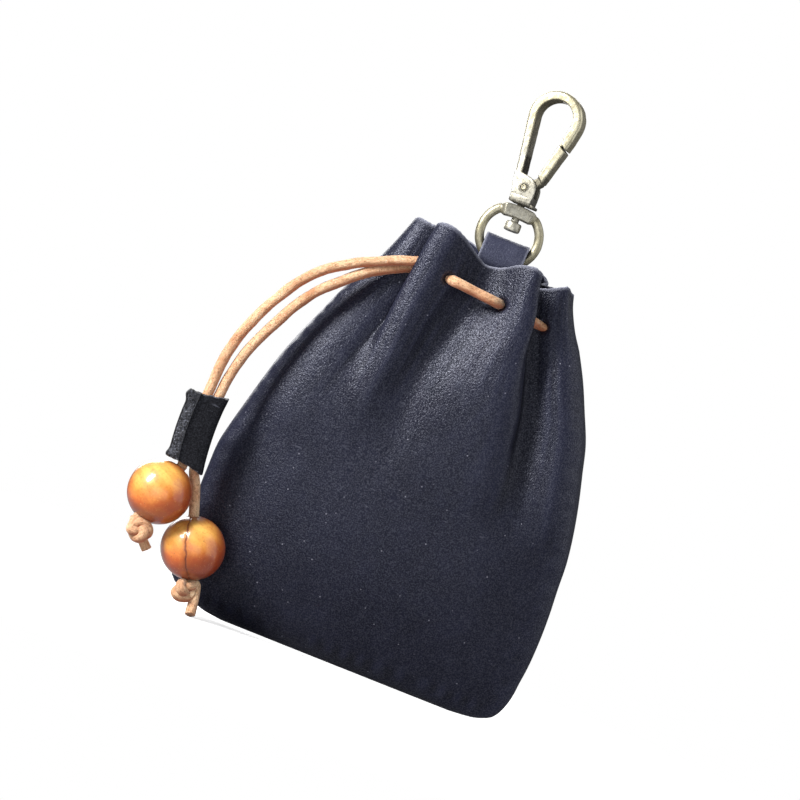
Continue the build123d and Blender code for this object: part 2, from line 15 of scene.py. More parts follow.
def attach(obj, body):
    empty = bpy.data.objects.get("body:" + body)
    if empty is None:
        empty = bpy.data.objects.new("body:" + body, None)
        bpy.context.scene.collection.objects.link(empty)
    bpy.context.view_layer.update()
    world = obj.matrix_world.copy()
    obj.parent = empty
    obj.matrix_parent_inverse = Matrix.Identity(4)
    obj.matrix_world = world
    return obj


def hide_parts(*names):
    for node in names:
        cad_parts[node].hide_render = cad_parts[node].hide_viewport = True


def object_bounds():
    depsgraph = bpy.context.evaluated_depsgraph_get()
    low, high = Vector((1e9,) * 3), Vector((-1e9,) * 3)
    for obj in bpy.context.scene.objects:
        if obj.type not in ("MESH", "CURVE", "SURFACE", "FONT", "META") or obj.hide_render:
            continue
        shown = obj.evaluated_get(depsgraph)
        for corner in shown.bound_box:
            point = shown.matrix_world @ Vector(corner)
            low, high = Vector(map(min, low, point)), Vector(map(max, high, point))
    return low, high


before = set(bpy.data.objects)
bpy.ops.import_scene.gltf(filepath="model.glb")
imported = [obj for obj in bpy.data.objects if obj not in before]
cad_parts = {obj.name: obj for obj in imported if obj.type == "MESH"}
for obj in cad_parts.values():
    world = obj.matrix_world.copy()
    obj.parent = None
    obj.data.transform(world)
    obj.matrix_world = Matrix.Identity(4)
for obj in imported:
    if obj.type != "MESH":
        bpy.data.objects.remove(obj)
CAD_LO, CAD_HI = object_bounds()

HOOK_EYE = np.array((1.27308, -0.16996, 161.2))
DETAIL = 1.0     # share of the full mesh density
PI = math.pi


def to_metres(points):
    return (np.asarray(points, float) - HOOK_EYE) / 1000.0


# ------------------------------------------------------------------ noise and curves
HASH_FACTORS = np.array((374761393, 668265263, 2147483647))
HASH_MIXER = 1274126177


def lattice_hash(cells, seed):
    """Random value in -1..1 for each whole-number cell."""
    mixed = (cells @ HASH_FACTORS + seed * HASH_MIXER) & 0xFFFFFFFF
    mixed = ((mixed ^ (mixed >> 13)) * HASH_MIXER) & 0xFFFFFFFF
    mixed = (mixed ^ (mixed >> 16)) & 0xFFFFFFFF
    return mixed / 4294967295.0 * 2 - 1


def noise(points, seed=0):
    """Smooth value noise in -1..1 at points (..., 3)."""
    points = np.asarray(points, float)
    cell = np.floor(points).astype(np.int64)
    part = points - cell
    part = part * part * part * (part * (part * 6 - 15) + 10)
    total = 0
    for corner in np.ndindex(2, 2, 2):
        weight = np.where(corner, part, 1 - part).prod(-1)
        total = total + weight * lattice_hash(cell + np.array(corner), seed)
    return total


def plane_noise(first, second, seed):
    """Noise over two coordinates, in the shape of the first."""
    return noise(np.stack(np.broadcast_arrays(first, second, 0.0), -1), seed)


def layered_noise(points, octaves, seed):
    total, amount = 0, 1.0
    for octave in range(octaves):
        total = total + amount * noise(points, seed + octave * 17)
        points = points * 2.03 + 11.3
        amount *= 0.5
    return total


def cast_unevenness(verts, amount, frequency, seed):
    """Small offsets that push each axis by its own noise."""
    return amount * np.stack([noise(verts * frequency, seed + axis) for axis in range(3)], -1)


def smoothstep(low, high, value):
    share = np.clip((value - low) / (high - low), 0, 1)
    return share * share * (3 - 2 * share)


def bell(value, centre, width):
    return np.exp(-((value - centre) / width) ** 2)


def unit(vectors):
    return vectors / (np.linalg.norm(vectors, axis=-1, keepdims=True) + 1e-12)


def arc(centre, radius, start, stop, count):
    """Points (count, 2) on a circle between two angles in radians."""
    angle = np.linspace(start, stop, count)
    return np.stack([centre[0] + radius * np.cos(angle), centre[1] + radius * np.sin(angle)], 1)


def around(count):
    """Angles of a full turn, without the repeated last one."""
    return np.linspace(0, 2 * PI, count, endpoint=False)


def catmull(controls, params, closed=False):
    """Catmull-Rom value of control rows at parameters 0..n-1, or 0..n if closed."""
    rows = np.asarray(controls, float)
    if closed:
        ends = rows[-1], rows[1]
        rows = np.vstack([rows, rows[:1]])
    else:
        ends = 2 * rows[0] - rows[1], 2 * rows[-1] - rows[-2]
    padded = np.vstack([ends[0], rows, ends[1]])
    i = np.clip(np.floor(params).astype(int), 0, len(rows) - 2)
    part = (params - i)[:, None]
    before, start, stop, after = padded[i], padded[i + 1], padded[i + 2], padded[i + 3]
    return 0.5 * (2 * start + (stop - before) * part
                  + (2 * before - 5 * start + 4 * stop - after) * part ** 2
                  + (3 * start - before - 3 * stop + after) * part ** 3)


def arc_length(path):
    return np.r_[0, np.cumsum(np.linalg.norm(np.diff(path, axis=0), axis=1))]


def arc_share(path):
    length = arc_length(path)
    return length / length[-1]


def interp_columns(at, known, values):
    columns = [np.interp(at, known, values[:, axis]) for axis in range(values.shape[1])]
    return np.stack(columns, 1)


def even_curve(controls, count):
    """Points at equal arc length on the smooth curve through the controls."""
    path = catmull(controls, np.linspace(0, len(controls) - 1, max(400, count * 4)))
    length = arc_length(path)
    return interp_columns(np.linspace(0, length[-1], count), length, path)


def hermite(known, values, slopes, at):
    """Smooth interpolation of table values (one row per known place)."""
    at = np.clip(np.atleast_1d(at), known[0], known[-1])
    i = np.clip(np.searchsorted(known, at, side="right") - 1, 0, len(known) - 2)
    shape = (-1,) + (1,) * (values.ndim - 1)
    step = (known[i + 1] - known[i]).reshape(shape)
    part = (at - known[i]).reshape(shape) / step
    return ((2 * part ** 3 - 3 * part ** 2 + 1) * values[i]
            + (part ** 3 - 2 * part ** 2 + part) * step * slopes[i]
            + (-2 * part ** 3 + 3 * part ** 2) * values[i + 1]
            + (part ** 3 - part ** 2) * step * slopes[i + 1])


def lookup(table, at):
    known, values = np.array(table, float).T
    return hermite(known, values, np.gradient(values, known), at)


def turned(points, origin, angle):
    """Rows (across, behind, z) of an upright plane turned about z through origin (x, y)."""
    across, behind, z = np.moveaxis(np.asarray(points, float), -1, 0)
    cos, sin = math.cos(angle), math.sin(angle)
    return np.stack([origin[0] + across * cos - behind * sin,
                     origin[1] + across * sin + behind * cos, z], -1)


# ------------------------------------------------------------------ meshes
def band(lower, upper, flip=False, closed=True):
    """Quads between two equal rows of vertex numbers."""
    quads = []
    for k in range(len(lower) if closed else len(lower) - 1):
        after = (k + 1) % len(lower)
        quad = (lower[k], lower[after], upper[after], upper[k])
        quads.append((quad[0],) + quad[:0:-1] if flip else quad)
    return quads


def grid(rows, columns, base=0, flip=False, closed=True):
    numbers = base + np.arange(rows * columns).reshape(rows, columns)
    return [quad for lower, upper in zip(numbers, numbers[1:])
            for quad in band(lower, upper, flip, closed)]


def flat_caps(rows, columns):
    """One face over the first row of a closed grid and one over the last."""
    return [tuple(range(columns))[::-1], tuple(range((rows - 1) * columns, rows * columns))]


def domed_cap(rim, numbers, first, centre, axis, steps, tip, flip=False):
    """Rings drawn in from a rim, then a fan to a middle point pushed out by tip.

    steps holds (shrink, push along axis); first is the number of the first new vertex.
    """
    verts, faces = [], []
    for shrink, push in steps:
        verts.append(centre + (rim - centre) * shrink + np.reshape(push, (-1, 1)) * axis)
        ring = first + np.arange(len(rim))
        faces += band(numbers, ring, flip)
        numbers, first = ring, first + len(rim)
    verts.append((centre + axis * tip)[None])
    for near, far in zip(numbers, np.roll(numbers, -1)):
        faces.append((far, near, first) if flip else (near, far, first))
    return np.vstack(verts), faces


def make_mesh(name, verts, faces, materials, attrs, face_materials=None):
    mesh = bpy.data.meshes.new(name)
    points = to_metres(np.reshape(verts, (-1, 3)))
    mesh.from_pydata(points.tolist(), [], [tuple(int(i) for i in face) for face in faces])
    for material in materials:
        mesh.materials.append(material)
    if face_materials is not None:
        mesh.polygons.foreach_set("material_index", np.asarray(face_materials, np.int32))
    mesh.polygons.foreach_set("use_smooth", np.full(len(mesh.polygons), True))
    for key, values in attrs.items():
        layer = mesh.attributes.new(key, "FLOAT", "POINT")
        layer.data.foreach_set("value", np.asarray(values, np.float32).ravel())
    mesh.update()
    obj = bpy.data.objects.new(name, mesh)
    bpy.context.scene.collection.objects.link(obj)
    return obj


def register(obj, carrier, part):
    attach(obj, carrier)
    if part:
        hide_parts(part)


# ------------------------------------------------------------------ node helpers
class Nodes:
    """Adds nodes to a tree; most methods return the new node's output socket."""

    def __init__(self, tree):
        self.tree = tree
        tree.nodes.clear()

    def node(self, kind, **settings):
        made = self.tree.nodes.new("ShaderNode" + kind)
        for key, value in settings.items():
            setattr(made, key, value)
        return made

    def feed(self, socket, value):
        """Link a socket to value, or set value as its constant."""
        if isinstance(value, bpy.types.NodeSocket):
            self.tree.links.new(value, socket)
        elif socket.type == "RGBA":
            socket.default_value = (*value[:3], 1)
        else:
            socket.default_value = value

    def fed(self, kind, inputs, **settings):
        """A node with its inputs given by name or number."""
        made = self.node(kind, **settings)
        for key, value in inputs.items():
            self.feed(made.inputs[key], value)
        return made

    def math(self, operation, *values, clamp=False):
        inputs = dict(enumerate(values))
        return self.fed("Math", inputs, operation=operation, use_clamp=clamp).outputs[0]

    def times(self, first, second, clamp=False):
        return self.math("MULTIPLY", first, second, clamp=clamp)

    def plus(self, first, second):
        return self.math("ADD", first, second)

    def ramp(self, factor, *stops, mode="LINEAR"):
        """Colour ramp through stops (position, grey value or colour)."""
        made = self.fed("ValToRGB", {0: factor})
        elements = made.color_ramp.elements
        made.color_ramp.interpolation = mode
        while len(elements) > 1:
            elements.remove(elements[-1])
        for i, (position, value) in enumerate(stops):
            element = elements[0] if i == 0 else elements.new(position)
            element.position = position
            element.color = (*(value if isinstance(value, tuple) else (value,) * 3), 1)
        return made.outputs[0]

    def mix_shaders(self, factor, first, second):
        return self.fed("MixShader", {0: factor, 1: first, 2: second}).outputs[0]


class Shader(Nodes):
    """A Principled material whose base colour is painted on in layers."""

    def __init__(self, name, colour=None):
        self.material = bpy.data.materials.new(name)
        self.material.use_nodes = True
        super().__init__(self.material.node_tree)
        self.output = self.node("OutputMaterial")
        self.bsdf = self.node("BsdfPrincipled")
        self.feed(self.output.inputs[0], self.bsdf.outputs[0])
        self.colour = colour

    def coords(self, scale=(1, 1, 1), loc=(0, 0, 0)):
        place = self.node("TexCoord").outputs["Object"]
        return self.fed("Mapping", {"Vector": place, "Scale": scale, "Location": loc}).outputs[0]

    def noise(self, vector, scale, detail=3.0, rough=0.5, distortion=0.0):
        return self.fed("TexNoise", {"Vector": vector, "Scale": scale, "Detail": detail,
                                     "Roughness": rough, "Distortion": distortion}).outputs[0]

    def cells(self, vector, scale, feature="F1"):
        made = self.fed("TexVoronoi", {"Vector": vector, "Scale": scale}, feature=feature)
        return made.outputs["Distance"]

    def attr(self, name):
        return self.node("Attribute", attribute_name=name).outputs["Fac"]

    def mix(self, factor, under, over):
        made = self.fed("Mix", {}, data_type="RGBA", blend_type="MIX")
        for i, value in ((0, factor), (6, under), (7, over)):
            self.feed(made.inputs[i], value)
        return made.outputs[2]

    def paint(self, over, mask, amount=None):
        """Lay a colour over the base colour where mask (times amount) is high."""
        if amount is not None:
            mask = self.times(mask, amount)
        self.colour = self.mix(mask, self.colour, over)

    def bump(self, height, strength, distance, normal=None):
        made = self.fed("Bump", {"Strength": strength, "Distance": distance, "Height": height})
        if normal is not None:
            self.feed(made.inputs["Normal"], normal)
        return made.outputs[0]

    def finish(self, inputs):
        """Set the Principled inputs, with the painted base colour."""
        for key, value in {"Base Color": self.colour, **inputs}.items():
            self.feed(self.bsdf.inputs[key], value)
        return self.material


def srgb(*channels):
    """Linear colour from 0..255 sRGB channels."""
    shares = [channel / 255 for channel in channels]
    return tuple(c / 12.92 if c <= 0.04045 else ((c + 0.055) / 1.055) ** 2.4 for c in shares)


def scaled(colour, factor):
    return tuple(channel * factor for channel in colour)


# ------------------------------------------------------------------ materials
def leather_material(name, base, light, spec=0.43, rough=0.385, dust=1.0, grit=1.0):
    """Waxed smooth leather: pebble grain, cloudy bloom, specks, scuffs, rubbed folds, painted shade
    in hollows, pale edges, suede.
    """
    mat = Shader(name, base)
    place = mat.coords()
    cloud = mat.noise(place, scale=26, detail=4, distortion=0.5)
    blotch = mat.noise(place, scale=150, detail=4, rough=0.6)
    grain = mat.noise(place, scale=2750, rough=0.6)
    pebble = mat.cells(place, scale=2350, feature="SMOOTH_F1")
    glint = mat.noise(mat.coords(loc=(0.31, 0.17, 0.23)), scale=2650, detail=2, rough=0.6)
    crease = mat.noise(mat.coords(scale=(1, 1, 0.5)), scale=500, rough=0.55, distortion=0.3)
    mat.paint(scaled(base, 1.35), mat.ramp(cloud, (0.34, 0), (0.70, 1)))
    mat.paint(light, mat.ramp(blotch, (0.42, 0), (0.85, 0.5)))
    mat.paint(scaled(light, 1.9), mat.ramp(grain, (0.45, 0), (0.70, 1)), amount=0.07 * dust)
    # short pale scuffs, in patches
    streak = mat.noise(mat.coords(scale=(1, 1, 3.4)), scale=330, detail=2, distortion=0.6)
    patch = mat.noise(place, scale=75, detail=2)
    scuff = mat.times(mat.ramp(streak, (0.69, 0), (0.72, 1)), mat.ramp(patch, (0.55, 0), (0.64, 1)))
    mat.paint(srgb(140, 142, 158), scuff, amount=0.22)
    # tiny pale specks
    dot = mat.cells(place, scale=420)
    patch = mat.noise(place, scale=520, detail=1)
    speck = mat.times(mat.ramp(dot, (0.06, 1), (0.10, 0)), mat.ramp(patch, (0.53, 0), (0.57, 1)))
    mat.paint(srgb(165, 165, 180), speck, amount=0.55 * dust)
    # raised folds are rubbed paler; hollows are darkened as painted shade
    wear = mat.attr("wear")
    mat.paint(scaled(light, 1.8), mat.ramp(wear, (0.55, 0), (0.95, 1)), amount=0.22)
    mat.paint(scaled(base, 0.35), mat.ramp(wear, (0.10, 1), (0.42, 0)), amount=0.5)
    # suede inside, then cut edges
    edge, inner = mat.attr("edge"), mat.attr("inner")
    fuzz = mat.noise(place, scale=2600, detail=4, rough=0.7)
    suede = mat.mix(mat.ramp(fuzz, (0.3, 0), (0.75, 1)), scaled(base, 0.6), scaled(light, 1.9))
    mat.paint(suede, inner)
    mat.paint(srgb(158, 160, 176), edge, amount=mat.ramp(fuzz, (0.25, 0.35), (0.65, 1)))
    waxed = mat.ramp(blotch, (0.25, rough - 0.05), (0.8, rough + 0.08))
    bare = mat.math("MAXIMUM", inner, mat.times(edge, 0.8))
    relief = mat.plus(mat.times(pebble, -0.8), mat.times(grain, 0.8))
    relief = mat.plus(relief, mat.times(crease, 0.12))
    fine = mat.bump(relief, strength=0.72 * grit, distance=0.00018)
    return mat.finish({
        "Roughness": mat.mix(bare, waxed, (0.9, 0.9, 0.9)),
        "Specular IOR Level": mat.ramp(glint, (0.40, spec * 0.40), (0.50, spec * 0.80),
                                       (0.62, spec * 1.75)),
        "Specular Tint": (0.80, 0.83, 1.0),
        "Sheen Weight": 0.02,
        "Sheen Roughness": 0.4,
        "Sheen Tint": (0.75, 0.78, 1.0),
        "Normal": mat.bump(blotch, strength=0.10, distance=0.0006, normal=fine)})


def cord_material():
    """Natural leather cord: long fibres, brown specks, and painted redder shade underneath."""
    mat = Shader("cord_natural")
    place = mat.coords()
    skin = mat.fed("CombineXYZ", {0: mat.times(mat.attr("along"), 0.25), 1: mat.attr("around")})
    fibre = mat.noise(skin.outputs[0], scale=3.2, detail=5, rough=0.65, distortion=0.8)
    cloud = mat.noise(place, scale=120, rough=0.6)
    speck = mat.noise(place, scale=1700, rough=0.7)
    mat.colour = mat.ramp(cloud, (0.30, srgb(196, 142, 104)), (0.52, srgb(233, 190, 150)),
                          (0.75, srgb(246, 218, 178)))
    mat.paint(srgb(170, 112, 76), mat.ramp(fibre, (0.38, 0.62), (0.56, 0)))
    mat.paint(srgb(134, 80, 50), mat.ramp(speck, (0.56, 0), (0.68, 0.85)))
    mat.paint(srgb(255, 236, 208), mat.ramp(speck, (0.28, 0.6), (0.38, 0)))
    # painted shade: redder on the underside and the +X side, broken up by the fibres
    facing = mat.fed("SeparateXYZ", {0: mat.node("NewGeometry").outputs["Normal"]}).outputs
    under = mat.plus(mat.times(facing[2], -0.8), mat.times(facing[0], 0.45))
    under = mat.plus(under, mat.times(mat.math("SUBTRACT", fibre, 0.5), 0.9))
    mat.paint(srgb(172, 84, 48), mat.ramp(mat.plus(under, 0.35), (0.48, 0), (1.0, 0.85)))
    mat.paint(srgb(196, 158, 122), mat.attr("edge"), amount=0.5)
    relief = mat.plus(mat.times(fibre, 0.8), mat.times(speck, 0.75))
    return mat.finish({
        "Roughness": 0.72,
        "Specular IOR Level": 0.25,
        "Sheen Weight": 0.35,
        "Sheen Roughness": 0.5,
        "Sheen Tint": (1.0, 0.85, 0.7),
        "Subsurface Weight": 0.08,
        "Subsurface Radius": (0.004, 0.002, 0.001),
        "Subsurface Scale": 0.3,
        "Normal": mat.bump(relief, strength=1.0, distance=0.00030)})


def bead_material(name, shift, crack):
    """Polished amber wood; crack is the angle of a split round the bore, or None."""
    mat = Shader(name)
    place = mat.coords(loc=(shift, shift * 0.7, shift * 1.3))
    cloud = mat.noise(place, scale=95, detail=4, rough=0.55, distortion=0.8)
    # growth rings seen as soft bands
    rings = mat.fed("TexWave", {"Vector": mat.coords(loc=(0.004 + shift * 0.001, 0.0, 0.012)),
                                "Scale": 95, "Distortion": 3.2, "Detail": 3, "Detail Scale": 1.6},
                    wave_type="RINGS", rings_direction="Y").outputs["Fac"]
    mat.colour = mat.ramp(cloud, (0.26, srgb(184, 72, 22)), (0.45, srgb(224, 108, 36)),
                          (0.62, srgb(238, 136, 48)), (0.80, srgb(246, 168, 76)))
    # painted shade low and to the right, painted light up and to the left front
    mat.paint(srgb(146, 46, 16), mat.ramp(mat.attr("tone"), (0.24, 0.92), (0.70, 0)))
    mat.paint(srgb(250, 212, 112), mat.ramp(mat.attr("tone"), (0.60, 0), (0.95, 0.70)))
    mat.paint(srgb(188, 84, 24), mat.ramp(rings, (0.25, 1), (0.6, 0)), amount=0.20)
    deep = mat.noise(place, scale=210, detail=4, rough=0.6, distortion=1.0)
    mat.paint(srgb(196, 88, 30), mat.ramp(deep, (0.55, 0), (0.75, 1)), amount=0.45)
    fine = mat.noise(place, scale=1500, rough=0.7)
    mat.paint(srgb(198, 84, 30), mat.ramp(fine, (0.54, 0), (0.68, 1)), amount=0.38)
    mat.paint(srgb(252, 192, 104), mat.ramp(fine, (0.30, 1), (0.42, 0)), amount=0.30)
    # darker round the two bore holes, at the ends of the bead's axis
    from_middle = mat.math("SUBTRACT", mat.times(mat.attr("axis"), 2.0), 1.0)
    near_bores = mat.ramp(mat.math("ABSOLUTE", from_middle), (0.72, 0), (0.96, 0.85))
    mat.paint(srgb(122, 52, 18), near_bores)
    # painted shade: darker red where the surface turns away from the view
    painted_rim_shade = mat.fed("LayerWeight", {"Blend": 0.42}).outputs["Facing"]
    mat.paint(srgb(172, 70, 24), mat.ramp(painted_rim_shade, (0.30, 0), (0.90, 0.75)))
    dots = mat.cells(place, scale=900)
    patch = mat.noise(place, scale=330, detail=2, rough=0.6)
    pore = mat.times(mat.ramp(dots, (0.10, 1), (0.17, 0)), mat.ramp(patch, (0.54, 0), (0.62, 1)))
    mat.paint(srgb(92, 40, 14), pore, amount=0.8)
    relief = mat.times(pore, -1.0)
    if crack:
        wander = mat.noise(place, scale=420, rough=0.6)
        wander = mat.times(mat.math("SUBTRACT", wander, 0.5), 0.16)
        away = mat.plus(mat.math("SUBTRACT", mat.attr("angle"), crack), wander)
        away = mat.math("ABSOLUTE", away)
        line = mat.ramp(away, (0.010, 1), (0.035, 0))
        mat.paint(srgb(52, 20, 8), line, amount=0.9)
        mat.paint(srgb(150, 66, 22), mat.ramp(away, (0.02, 0.55), (0.22, 0)))
        relief = mat.math("SUBTRACT", relief, mat.times(line, 2.5))
    relief = mat.plus(relief, mat.times(rings, 0.12))
    return mat.finish({
        "Roughness": mat.ramp(deep, (0.2, 0.30), (0.8, 0.42)),
        "Specular IOR Level": 0.5,
        "Coat Weight": 0.9,
        "Coat Roughness": 0.10,
        "Subsurface Weight": 0.04,
        "Subsurface Radius": (0.004, 0.0015, 0.0005),
        "Subsurface Scale": 0.35,
        "Normal": mat.bump(relief, strength=0.5, distance=0.00015)})


def brass_material():
    """Antique brass: pale yellow metal, grey-brown in hollows, fine brushing and pits."""
    mat = Shader("antique_brass", srgb(200, 190, 152))
    place = mat.coords()
    cloud = mat.noise(place, scale=260, detail=4, rough=0.6)
    tarnish = mat.noise(place, scale=900, detail=4, rough=0.65)
    brush = mat.noise(mat.coords(scale=(1, 1, 0.12)), scale=3800, rough=0.6)
    raised = mat.ramp(mat.node("NewGeometry").outputs["Pointiness"], (0.44, 0), (0.52, 1))
    mat.paint(srgb(240, 232, 200), mat.ramp(cloud, (0.3, 0), (0.7, 1)))
    mat.paint(srgb(110, 102, 82), mat.ramp(tarnish, (0.56, 0), (0.74, 0.75)))
    mat.paint(srgb(70, 66, 56), mat.math("SUBTRACT", 1.0, raised), amount=0.7)
    # grey: plating without its yellow; shade: painted shade in recesses, gaps, end faces and on
    # sides turned from the light, on inner walls partly dark polish left in place
    grey, shade = mat.attr("grey"), mat.attr("shade")
    steel = mat.mix(mat.ramp(cloud, (0.35, 0), (0.65, 1)), srgb(168, 167, 162), srgb(226, 225, 220))
    mat.paint(steel, mat.times(grey, 0.75))
    pits = mat.ramp(mat.noise(place, scale=1500, detail=4, rough=0.7), (0.50, 0), (0.66, 0.7))
    mat.paint(srgb(86, 82, 72), pits, amount=mat.plus(mat.times(grey, 0.6), 0.25))
    patchy = mat.ramp(tarnish, (0.2, 1.25), (0.8, 0.8))
    mat.paint(srgb(40, 38, 35), mat.times(shade, patchy, clamp=True))
    mat.paint(srgb(236, 228, 200), mat.ramp(brush, (0.45, 0), (0.7, 1)), amount=0.22)
    relief = mat.plus(mat.times(tarnish, 0.6), mat.times(brush, 0.35))
    polish = mat.ramp(tarnish, (0.25, 0.24), (0.8, 0.44))
    return mat.finish({
        "Metallic": 0.82,
        "Roughness": mat.mix(shade, polish, (0.6, 0.6, 0.6)),
        "Normal": mat.bump(relief, strength=0.22, distance=0.00012)})


def thread_material():
    mat = Shader("thread_navy", srgb(30, 31, 42))
    twist = mat.attr("twist")
    fluff = mat.noise(mat.coords(), scale=5200, rough=0.6)
    mat.paint(srgb(84, 86, 104), mat.ramp(twist, (0.2, 0), (0.8, 1)))
    mat.paint(srgb(120, 122, 138), fluff, amount=0.3)
    return mat.finish({
        "Roughness": 0.6,
        "Sheen Weight": 0.3,
        "Normal": mat.bump(mat.plus(twist, fluff), strength=0.5, distance=0.0001)})


def spring_material():
    mat = Shader("spring_wire", srgb(120, 120, 118))
    grain = mat.noise(mat.coords(), scale=2500, rough=0.6)
    mat.paint(srgb(200, 200, 196), grain)
    return mat.finish({"Metallic": 1.0, "Roughness": mat.ramp(grain, (0.3, 0.25), (0.7, 0.45))})


def raw_edge_material():
    """Raw cut edge of black leather: fibrous, speckled with pale ends."""
    pale = srgb(96, 98, 108)
    mat = Shader("leather_black_raw_edge", srgb(20, 20, 22))
    place = mat.coords()
    fibre = mat.noise(place, scale=1500, detail=5, rough=0.75, distortion=0.6)
    ends = mat.cells(place, scale=1300)
    mat.paint(pale, mat.ramp(fibre, (0.40, 0), (0.66, 1)))
    mat.paint(scaled(pale, 2.4), mat.ramp(ends, (0.12, 0.75), (0.28, 0)))
    relief = mat.plus(fibre, mat.times(ends, -0.6))
    return mat.finish({
        "Roughness": 0.85,
        "Specular IOR Level": 0.2,
        "Sheen Weight": 0.3,
        "Normal": mat.bump(relief, strength=0.9, distance=0.0004)})


NAVY_LEATHER = leather_material("leather_navy", base=srgb(18, 19, 31), light=srgb(34, 36, 53))
# the strap: a paler copy of the navy leather, partly painted light for its lit face and partly more
# dust
LIT_DUSTY_STRAP_LEATHER = leather_material("leather_navy_strap", base=srgb(44, 46, 62),
                                 light=srgb(76, 78, 96), dust=1.5)
BLACK_LEATHER = leather_material("leather_black", base=srgb(14, 14, 16), light=srgb(26, 26, 30),
                                 spec=0.24, rough=0.52, dust=0.1, grit=0.15)
CORD = cord_material()
BRASS = brass_material()
THREAD = thread_material()
SPRING = spring_material()
RAW_EDGE = raw_edge_material()

# ------------------------------------------------------------------ bag panels
LEATHER = 1.3           # thickness
BASE_Z = 46.0           # below this height the section is a plain rounded ellipse
NECK_Z = 105.0          # above this height rows follow the uneven mouth
MOUTH_RISE = 16.5       # nominal height of the mouth above NECK_Z

# outline of the bag, (z, x), and half its depth, (z, y)
RIGHT = [
    (0, 34), (0.5, 39.5), (1.2, 42.3), (2, 44.3), (4, 46.4), (6, 47.4), (10, 48.5), (14, 48.9),
    (18, 49.4), (26, 49.8), (34, 49.7), (42, 49.2), (50, 48.8), (58, 47.6), (66, 45.9),
    (74, 43.8), (82, 41.6), (90, 38.1), (98, 34.4), (106, 30.0), (110, 27.8), (114, 26.0),
    (118, 24.5), (122, 23.4), (126, 22.6)]
LEFT = [
    (0, -34), (0.5, -38.4), (1.2, -41.0), (2, -43.5), (4, -47.4), (5.5, -49.9), (7, -51.2),
    (12, -52.3), (20, -52.7), (30, -52.8), (38, -52.8), (46, -52.5), (50, -51.7), (58, -49.8),
    (66, -47.8), (74, -45.6), (82, -42.7), (90, -39.4), (98, -36.1), (106, -31.9),
    (110, -29.8), (114, -28.0), (118, -26.2), (122, -24.5), (126, -23.2)]
HALF_DEPTH = [
    (0, 0.7), (0.5, 1.7), (1.2, 2.6), (2, 3.3), (4, 4.6), (8, 6.4), (15, 8.6), (24, 10.8),
    (34, 12.3), (44, 13.1), (56, 13.4), (68, 13.2), (80, 12.9), (92, 12.6), (104, 12.4),
    (126, 12.6)]

# one row per line drawn down a panel, left to right:
# x, y at the cord's height; x, y at the mouth; height of the mouth's edge
FRONT_LINES = np.array([
    (-29.8, 0.0, -24.5, 0.0, 121.4), (-29.1, -3.2, -24.6, -2.4, 122.0),
    (-27.0, -5.7, -23.6, -4.6, 122.5), (-23.6, -7.1, -21.2, -5.8, 122.2),
    (-19.6, -7.2, -18.2, -6.1, 121.8), (-16.5, -6.6, -15.4, -5.4, 121.2),
    (-17.2, -8.8, -15.9, -7.8, 121.4), (-20.3, -10.7, -18.5, -9.9, 121.9),
    (-19.3, -12.5, -17.7, -12.2, 123.1), (-15.4, -13.9, -13.7, -13.8, 123.0),
    (-10.6, -12.3, -9.4, -12.2, 121.3), (-5.6, -9.0, -5.2, -8.9, 118.7),
    (-1.7, -7.9, -2.0, -7.2, 117.2), (2.4, -8.7, 1.8, -7.7, 117.9),
    (6.3, -10.9, 5.1, -9.9, 119.9), (9.9, -13.1, 8.6, -12.3, 120.9),
    (13.3, -13.4, 11.4, -13.2, 120.9), (15.6, -11.8, 13.6, -11.4, 119.4),
    (14.2, -8.6, 12.6, -8.0, 117.4), (13.7, -5.7, 12.7, -5.0, 116.5),
    (16.4, -4.9, 14.8, -4.2, 117.0), (20.4, -6.0, 18.4, -5.0, 118.7),
    (24.4, -5.3, 21.3, -4.6, 120.0), (27.1, -2.8, 23.1, -2.4, 118.9),
    (27.8, 0.0, 23.4, 0.0, 118.3)])
# x, y of the same lines lower down, where the folds open out, by height
FRONT_LOWER = {
    64: [(-48.3, 0), (-47.4, -4.2), (-43.9, -7.9), (-38.9, -10.4), (-34.0, -11.6),
         (-30.4, -12.0), (-27.8, -12.3), (-25.2, -12.6), (-22.3, -12.9), (-18.9, -13.1),
         (-15.4, -12.8), (-11.8, -12.6), (-7.9, -12.7), (-3.6, -13.3), (1.2, -13.9),
         (6.6, -14.3), (12.4, -14.4), (17.8, -14.1), (22.4, -12.9), (25.8, -10.3),
         (29.6, -8.9), (34.4, -9.3), (39.2, -9.3), (44.4, -5.6), (46.4, 0)],
    84: [(-42.0, 0), (-41.0, -4.6), (-37.8, -8.0), (-33.2, -10.0), (-28.6, -10.5),
         (-25.8, -10.2), (-24.4, -10.6), (-23.0, -11.4), (-21.2, -12.6), (-17.8, -13.8),
         (-14.0, -12.7), (-11.0, -11.1), (-7.6, -10.6), (-3.0, -11.9), (2.4, -13.6),
         (8.0, -14.9), (13.6, -15.4), (17.4, -14.6), (20.2, -12.0), (21.4, -7.5),
         (25.2, -6.2), (30.0, -7.6), (34.8, -7.8), (39.4, -4.4), (40.9, 0)],
    96: [(-37.0, 0), (-36.2, -4.0), (-33.4, -6.8), (-29.2, -8.4), (-24.6, -8.7),
         (-21.4, -8.3), (-21.3, -9.4), (-22.0, -10.9), (-20.7, -12.5), (-17.2, -14.0),
         (-12.8, -12.8), (-9.2, -10.3), (-5.2, -9.0), (-1.0, -9.9), (4.0, -12.0),
         (8.8, -13.9), (12.6, -14.5), (16.0, -13.6), (17.4, -10.6), (17.8, -6.4),
         (20.8, -5.0), (25.2, -6.5), (29.6, -6.7), (34.0, -3.6), (35.3, 0)]}
